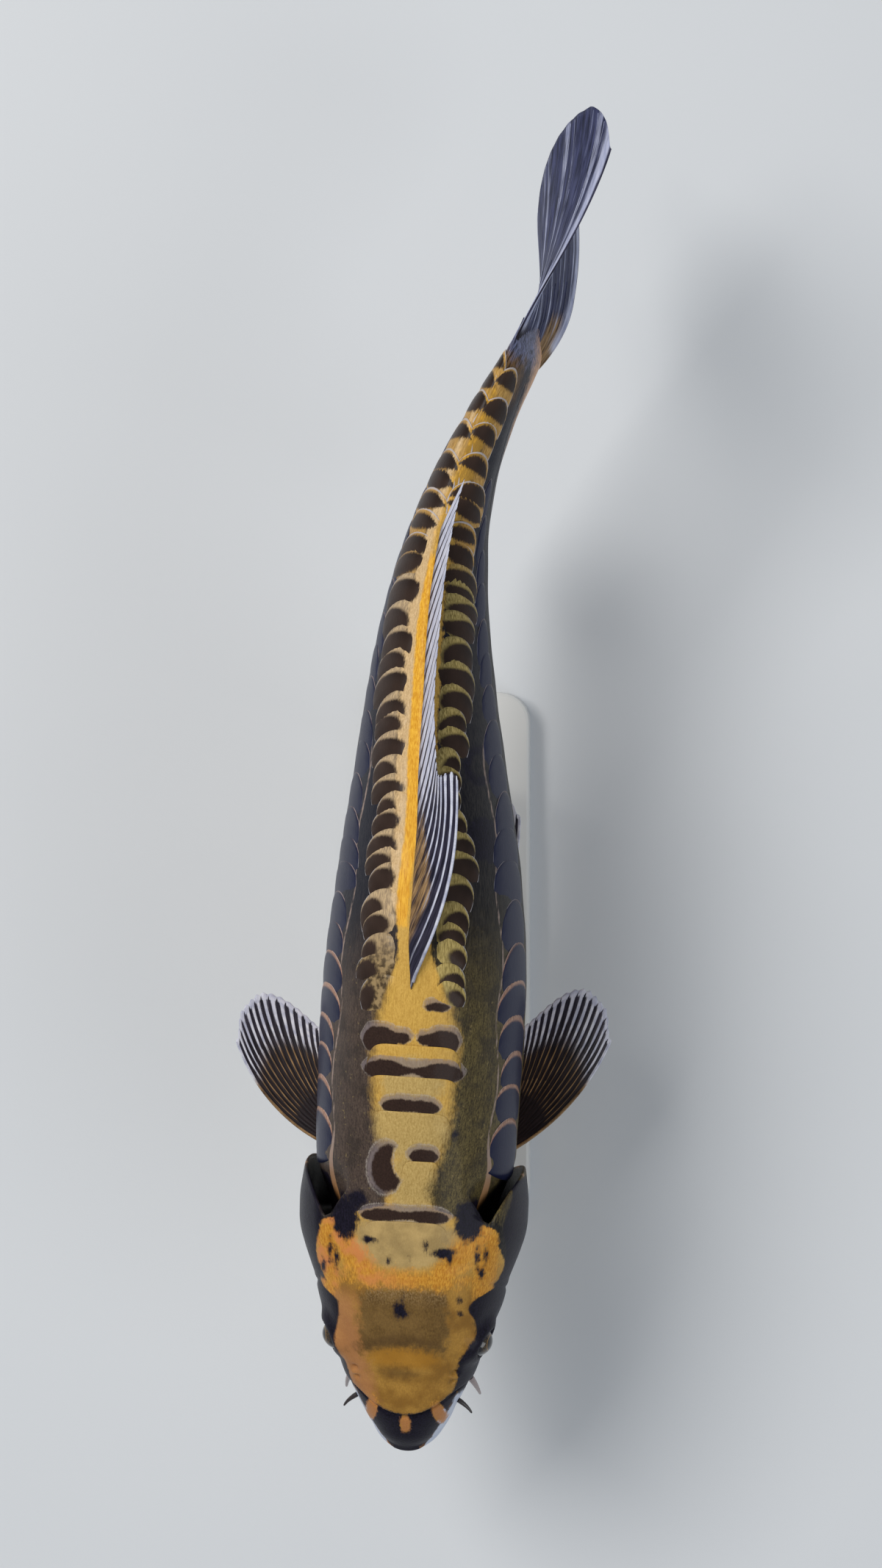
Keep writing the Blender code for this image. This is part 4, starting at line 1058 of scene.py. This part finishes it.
def swept(length, start, bend, v):
    """How far a curved ray has run forward and outward at share v: it leaves at angle start
    (radians off straight back) and turns back by bend."""
    turn = np.where(np.abs(bend) < 1e-6, 1e-6, bend)
    back_run = (np.sin(start) - np.sin(start - turn * v)) / turn
    out_run = (np.cos(start - turn * v) - np.cos(start)) / turn
    return length * back_run, length * out_run


def dorsal_ray(u, v):
    """Folded back and over to the fish's left: a long front fan, then a low strip."""
    root = DORSAL_FROM + (DORSAL_TO - DORSAL_FROM) * u
    length = 27 + 61 * np.exp(-((u / 0.20) ** 1.5)) - 5 * ease(u, 0.8, 1.0)
    rise = np.radians(17 + 5 * ease(u, 0.1, 0.4))
    lean = np.radians(45 - 5 * ease(u, 0.1, 0.5))
    lift = length * v * np.sin(rise) * (1 - 0.12 * v)
    s = root + length * v * np.cos(rise)
    bow = 4.5 * ease(u, 0.35, 0.05) * np.sin(math.pi * np.clip(v, 0, 1))
    return s, fin_line(root) + lift * np.sin(lean) + bow, back(root) + GAP + 0.8 + lift * np.cos(lean)


def caudal_ray(lobe):
    """One lobe of the tail fin, +1 the upper: u runs from the fork to the outer edge."""

    def ray(u, v):
        height = lobe * (GAP + 26 * u)
        length = 62 + 48 * np.sin(u * math.pi / 2) ** 0.9 - 13 * ease(u, 0.74, 1.0) - 7 * ease(u, 0.88, 1.0)
        angle = np.radians(28 * u)
        run = length * v * np.cos(angle)
        h = height + lobe * length * np.sin(angle) * (v - 0.15 * v * v)
        outer = 40 * ease(run, -5, 105) if lobe > 0 else 6 * ease(run, -20, 30)
        curl = np.clip(np.abs(h) / (27 + 0.45 * np.maximum(run, 0)), 0, 1.2) ** 1.6
        inner = -5 * ease(run, 15, 60) * (1 - u) ** 2
        return BODY_LENGTH + GAP + run, inner + outer * curl, h

    return ray


def anal_ray(u, v):
    root = 372 + 38 * u
    length = 64 - 30 * u - 7 * ease(u, 0.2, 0.0) - 6 * ease(u, 0.7, 1.0)
    drop = np.radians(56 - 18 * u - 10 * v)
    s = root + length * v * np.cos(drop)
    return s, 3.0 * v * v, belly(root) - GAP - 0.6 - length * v * np.sin(drop)


def pectoral_ray(side):
    """A rounded paddle spread out and back from low on the shoulder; the right one is held further out."""
    spread = 0.0 if side > 0 else 14.0

    def ray(u, v):
        root_s = 131 - spread / 5 + 14 * u
        _, root_x, root_z = section(root_s, math.radians(120) + math.radians(9) * u, 1.6)
        length = (77 - spread / 4) * (1 - 0.10 * ease(u, 0.25, 0)) - 36 * ease(u, 0.4, 1.1)
        start = np.radians(58 - 40 * u + spread)
        bend = np.radians(36 - 20 * u + spread)
        back_run, out_run = swept(length, start, bend, v)
        droop = np.radians(8 + 8 * u)
        z = root_z - (out_run + 0.3 * back_run) * np.sin(droop) - 2 * v * v * (1 - u)
        return root_s + back_run, side * (root_x + out_run * np.cos(droop)), z

    return ray


def pelvic_ray(side):
    """Held back and down under the belly."""

    def ray(u, v):
        root_s = 226 + 17 * u
        _, root_x, root_z = section(root_s, math.radians(146) + math.radians(12) * u, 1.6)
        length = 68 * (1 - 0.10 * ease(u, 0.3, 0)) - 30 * ease(u, 0.45, 1.1)
        out = np.radians(24 - 18 * u - 12 * v)
        down = np.radians(31 + 6 * u - 6 * v)
        s = root_s + length * v * np.cos(out) * np.cos(down)
        return s, side * (root_x + length * v * np.sin(out)), root_z - length * v * np.sin(down)

    return ray


fin_finish, tree, shader = new_finish("koi_fin", 0.45, coat=0.06, coat_roughness=0.15, Specular_IOR_Level=0.10)
pale, brown, navy = field("fin_tone")
_, _, is_ray = field("fin_place")
fin_at = add("ShaderNodeAttribute", attribute_name="fin_place").outputs["Vector"]
streaks = noise(fin_at, 1.0, 3, (2.2, 0.10, 1))
mottle = noise(fin_at, 0.25, 3)
wander = times(calc("SUBTRACT", streaks, 0.5), 0.7)
dark_web = fade(streaks, 0.3, 0.7, (18, 15, 19), (46, 38, 40))
navy_web = fade(streaks, 0.3, 0.7, (28, 31, 54), (64, 68, 102))
web = mix(navy, dark_web, navy_web)
brown_tone = fade(streaks, 0.3, 0.7, (84, 62, 42), (160, 128, 88))
web = mix(between(plus(brown, wander), 0.25, 0.75), web, brown_tone)
pale_tone = fade(mottle, 0.3, 0.7, (176, 178, 196), (222, 222, 230))
pale_tone = mix(times(navy, 0.55), pale_tone, (150, 158, 196))
web = mix(between(plus(pale, wander), 0.22, 0.82), web, pale_tone)
bamboo = {"Vector": fin_at, "Scale": 0.28, "Distortion": 0.6}
joints = add("ShaderNodeTexWave", bamboo, wave_type="BANDS", bands_direction="Y", wave_profile="SIN").outputs["Fac"]
surface(web, height=plus(times(joints, times(is_ray, 0.6)), streaks), strength=0.4)


def tubes_along(seed, sides):
    """Round tubes along the edges of the seed, as thick as its points say."""
    lines = add("GeometryNodeMeshToCurve", {"Mesh": seed}).outputs[0]
    outline = add("GeometryNodeCurvePrimitiveCircle", {"Resolution": sides, "Radius": 1.0}).outputs[0]
    drawn = {"Curve": lines, "Profile Curve": outline, "Fill Caps": True, "Scale": named("thick")}
    return add("GeometryNodeCurveToMesh", drawn).outputs[0]


tree, given = node_group("fin_rays", ("Web", "Object"), ("Sides", "Int"), ("Finish", "Material"))
tubes = tubes_along(given["Geometry"], given["Sides"])
web_of = add("GeometryNodeObjectInfo", {"Object": given["Web"], "As Instance": False}).outputs["Geometry"]
both = add("GeometryNodeJoinGeometry", {0: tubes})
tree.links.new(web_of, both.inputs[0])
ray_tree = end_group(both.outputs[0], given["Finish"])


def ray_lines(rays, lead, fork, tips, root_thick, tip_thick):
    """The rays of one fin as lines: a list of (u, v, radius in millimetres) for each unbranched stretch."""

    def radius(v, root):
        return root + (tip_thick - root) * np.clip(v, 0, 1) ** 0.8

    lines = []
    gap = 1 / (rays - RAYS_SPARE)
    for k in range(rays):
        middle = 0.004 if k == 0 else (k + FIRST_RAY) * gap
        if k < lead:
            v = np.linspace(-FIN_SINK / 2, RAY_END, 26)
            lines.append((middle + 0 * v, v, radius(v, root_thick * 1.15)))
            continue
        stretches = [(-FIN_SINK / 2, fork, (0.0,), 1.0), (fork, min(tips, RAY_END), (-0.18, 0.18), 0.80)]
        if tips < RAY_END:
            stretches.append((tips, RAY_END, (-0.30, -0.10, 0.10, 0.30), 0.66))
        for start, end, ways, slim in stretches:
            v = np.linspace(start, end, 13)
            for way in ways:
                before = math.copysign(0.18, way) if slim == 0.66 else 0.0
                aim = before + (way - before) * ease(v, start, end) if slim < 1 else 0 * v
                u = np.clip(middle + aim * gap * (0.35 + 0.65 * v), 0.002, 0.998)
                lines.append((u, v, slim * radius(v, root_thick)))
    return lines


def make_fin(name, nodes, lobes, rays, lead, fork, tips, root_thick, tip_thick, tones, notch=0.016):
    """Web and rays as one mesh. Each lobe is a ray function; tones gives pale, brown and navy."""
    web_points, web_faces, web_tone, web_place = [], [], [], []
    line_points, line_edges, line_tone, line_place, line_thick = [], [], [], [], []

    def look(u, v, on_ray, to_ray, number):
        """The tones of places on the fin, and the places that its fine streaks and joints follow."""
        u, v, on_ray, to_ray = np.broadcast_arrays(u, v, on_ray, to_ray)
        tone = np.stack(np.broadcast_arrays(*tones(u, v, on_ray, to_ray, number)), -1)
        return tone.reshape(-1, 3), np.stack([u * rays * 2 + 40 * number, v * 70, on_ray], -1).reshape(-1, 3)

    for number, ray in enumerate(lobes):
        columns, steps = rays * WEB_PER_RAY + 1, WEB_STEPS
        u = np.linspace(0, 1, columns)[:, None]
        to_ray = np.abs((u * (rays - RAYS_SPARE) - FIRST_RAY + 0.5) % 1 - 0.5) * 2
        reach = 1 - notch * to_ray
        v = -FIN_SINK + (reach + FIN_SINK) * np.linspace(0, 1, steps)[None, :]
        middle = place(*ray(u, v))
        facing = np.cross(np.gradient(middle, axis=0), np.gradient(middle, axis=1))
        facing /= np.linalg.norm(facing, axis=2)[..., None]
        thick = WEB_MARGIN + (WEB_ROOT - WEB_MARGIN) * (1 - np.clip(v, 0, 1)) ** 1.3 + 0.10 * (1 - to_ray)
        edge_in = np.minimum(1, np.minimum(u, 1 - u) * columns * 0.5 + 0.3) * np.minimum(1, (reach - v) * 18 + 0.35)
        thick = (thick * edge_in)[..., None] * MM
        web_faces += sheet_faces(columns, steps, sum(len(block) for block in web_points))
        web_points += [(middle + facing * thick).reshape(-1, 3), (middle - facing * thick).reshape(-1, 3)]
        tone, spot = look(u, v, 0.0, to_ray, number)
        web_tone += [tone] * 2
        web_place += [spot] * 2
        for u_line, v_line, radius in ray_lines(rays, lead, fork, tips, root_thick, tip_thick):
            start = sum(len(block) for block in line_points)
            line_points.append(place(*ray(u_line, v_line)))
            line_edges += [(start + i, start + i + 1) for i in range(len(v_line) - 1)]
            tone, spot = look(u_line, v_line, 1.0, 0.0, number)
            line_tone.append(tone)
            line_place.append(spot)
            line_thick.append(radius * MM)
    web = new_piece(name + "_web", np.concatenate(web_points), web_faces, fin_finish)
    work = bmesh.new()
    work.from_mesh(web.data)
    bmesh.ops.recalc_face_normals(work, faces=work.faces)
    work.to_mesh(web.data)
    work.free()
    fill_attribute(web.data, "fin_tone", np.concatenate(web_tone))
    fill_attribute(web.data, "fin_place", np.concatenate(web_place))
    seed = bpy.data.meshes.new(name + "_lines")
    seed.from_pydata(np.concatenate(line_points).tolist(), line_edges, [])
    fill_attribute(seed, "fin_tone", np.concatenate(line_tone))
    fill_attribute(seed, "fin_place", np.concatenate(line_place))
    fill_attribute(seed, "thick", np.concatenate(line_thick))
    fin = grow(name, seed, ray_tree, Web=web, Sides=6, Finish=fin_finish)
    bpy.data.objects.remove(web)
    fin.data.shade_smooth()
    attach(fin, "root")
    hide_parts(*nodes)


def near_ray(on_ray, to_ray, spread):
    """1 on a ray and as far beside it as the spread, 0 beyond."""
    return on_ray + (1 - on_ray) * (1 - ease(to_ray, spread, spread + 0.2))


def paddle_tones(u, v, on_ray, to_ray, number):
    """Paired fins and the anal fin: black at the root, tan rays half way, white rays and margin."""
    bright = near_ray(on_ray, to_ray, 0.10 + 0.22 * ease(v, 0.45, 0.9) + 0.7 * ease(v, 0.94, 0.98))
    whiten = ease(v, 0.48, 0.84)
    lead = ease(u, 0.04, 0.0)
    pale = whiten * bright * (1 - 0.5 * lead) + 0.8 * lead * ease(v, 0.6, 0.9)
    brown = ease(v, 0.20, 0.36) * (1 - 0.7 * whiten) * bright * 0.85
    brown = np.maximum(brown, lead * ease(v, 0.8, 0.5) * 0.9)
    return pale, brown, 0.2 * ease(v, 0.5, 1.0)


def dorsal_tones(u, v, on_ray, to_ray, number):
    """White rays on black in front, a brown foot behind the first of them, and a pale strip behind."""
    spread = 0.14 + 0.14 * ease(v, 0.3, 0.9) + 0.50 * ease(u, 0.22, 0.42)
    pale = (0.5 + 0.45 * ease(v, 0.02, 0.3)) * near_ray(on_ray, to_ray, spread)
    foot = ease(v, 0.48, 0.2) * ease(u, 0.05, 0.12) * ease(u, 0.4, 0.25)
    return pale * (1 - 0.7 * foot), foot * (0.9 - 0.5 * to_ray), 0.3 + 0 * u


def tail_tones(u, v, on_ray, to_ray, number):
    """Lilac rays on navy, broad and pale at the outer edge; the lower lobe is brown at its root."""
    beside = 1 - ease(to_ray, 0.15 + 0.25 * ease(v, 0.3, 0.9), 0.7)
    edge_ray = 1 - ease(1 - u, 0.05, 0.16 + 0.3 * ease(v, 0.45, 0.1))
    band = 0.5 + 0.5 * np.sin(u * 23 + 1.5 * v)
    pale = (0.12 + 0.5 * band * ease(v, 0.02, 0.2)) * (on_ray + (1 - on_ray) * beside * 0.8)
    pale = np.maximum(pale, 0.75 * edge_ray * ease(v, 0.02, 0.12)) * (1 - 0.95 * ease(1 - u, 0.035, 0.0))
    brown = number * ease(v, 0.32, 0.14) * 0.8 * ease(u, 0.25, 0.5) + ease(v, 0.08, 0.0) * 0.4
    return pale, brown, ease(v, 0.03, 0.15) * (1 - 0.6 * ease(1 - u, 0.03, 0.0))


make_fin("koi_fin_dorsal", ["dorsal_fin"], [dorsal_ray], 23, 1, 0.35, 1.0, 0.70, 0.40, dorsal_tones)
make_fin("koi_fin_tail", ["caudal_fin_upper", "caudal_fin_lower"], [caudal_ray(1), caudal_ray(-1)],
         10, 0, 0.38, 0.68, 0.95, 0.40, tail_tones, notch=0.004)
make_fin("koi_fin_anal", ["anal_fin"], [anal_ray], 8, 2, 0.45, 0.75, 0.85, 0.34, paddle_tones)
for side_name, side in (("left", 1.0), ("right", -1.0)):
    make_fin("koi_fin_pectoral_" + side_name, ["pectoral_fin_" + side_name], [pectoral_ray(side)],
             15, 1, 0.40, 0.70, 0.75, 0.34, paddle_tones)
    make_fin("koi_fin_pelvic_" + side_name, ["pelvic_fin_" + side_name], [pelvic_ray(side)],
             10, 1, 0.42, 0.72, 0.80, 0.38, paddle_tones)

# ---------------------------------------------------------------- barbels
# Two pairs of soft feelers: a short dark pair on the upper lip, and a longer pale pair that hangs
# at the corners of the mouth.
BARBELS = (  # root from the snout, its angle, length, thickness, the way it points, how pale it is
    ("barbel_upper_", 22.0, 80, 9.0, 1.0, (-0.60, 0.70, -0.30), 0.0),
    ("barbel_corner_", 30.0, 104, 18.0, 1.3, (-0.50, 0.22, -0.80), 1.0),
)
barbel_finish, tree, shader = new_finish("koi_barbel", roughness=0.4, coat=0.5, coat_roughness=0.15, IOR=1.4)
paleness, _, _ = field("on_barbel")
speckle = noise(add("ShaderNodeTexCoord").outputs["Object"], 1500, 2)
pale_flesh = mix(speckle, (118, 102, 98), (168, 152, 150))
dark_flesh = mix(speckle, (26, 22, 28), (60, 50, 46))
surface(mix(paleness, dark_flesh, pale_flesh), height=speckle, distance=0.0002)

tree, given = node_group("barbel", ("Sides", "Int"), ("Finish", "Material"))
barbel_tree = end_group(tubes_along(given["Geometry"], given["Sides"]), given["Finish"])

for name, start, angle_at, length, radius, (forward, outward, upward), pale_share in BARBELS:
    t = np.concatenate([[-0.12], 1 - (1 - np.linspace(0, 1, 26)) ** 1.5])  # from just inside the lip to the tip
    _, root_x, root_z = section(start, math.radians(angle_at), GAP + radius)
    s = start + length * forward * t
    x = root_x + length * outward * t * (1.2 - 0.4 * t)
    z = root_z + length * upward * t * (0.8 + 0.2 * t)
    thick = radius * (1.15 - 0.75 * np.clip(t, 0, 1)) * np.sqrt(np.clip((1.004 - t) / 0.08, 0.01, 1))
    for side_name, side in (("left", 1.0), ("right", -1.0)):
        seed = bpy.data.meshes.new(name + side_name)
        seed.from_pydata(place(s, side * x, z).tolist(), [(i, i + 1) for i in range(len(t) - 1)], [])
        fill_attribute(seed, "on_barbel", np.stack([pale_share + 0 * t, t * length, 0 * t], -1))
        fill_attribute(seed, "thick", thick * MM)
        barbel = grow("koi_" + name + side_name, seed, barbel_tree, Sides=18, Finish=barbel_finish)
        barbel.data.shade_smooth()
        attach(barbel, "root")
        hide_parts(name + side_name)

# ---------------------------------------------------------------- stand
# A flat enamelled base with rounded corners, and two turned steel rods that hold the fish from
# below. They keep the shapes of the CAD model and are only finished here.
enamel, tree, shader = new_finish("stand_enamel", roughness=0.38, coat=0.3, coat_roughness=0.2)
where = add("ShaderNodeTexCoord").outputs["Object"]
cloudy = mix(noise(where, 14), (206, 206, 203), (216, 216, 214))
surface(cloudy, calc("MULTIPLY_ADD", noise(where, 60), 0.16, 0.28), noise(where, 700), strength=0.12)
steel, tree, shader = new_finish("brushed_steel", roughness=0.28, metallic=1.0)
turning = noise(add("ShaderNodeTexCoord").outputs["Object"], 1.0, 2, (40, 40, 2600))
brushed = mix(turning, (168, 170, 172), (206, 207, 208))
surface(brushed, calc("MULTIPLY_ADD", turning, 0.2, 0.18), turning, strength=0.15, distance=0.0001)
for name, finish in (("stand_base", enamel), ("stand_rod_front", steel), ("stand_rod_rear", steel)):
    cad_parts[name].material_slots[0].material = finish
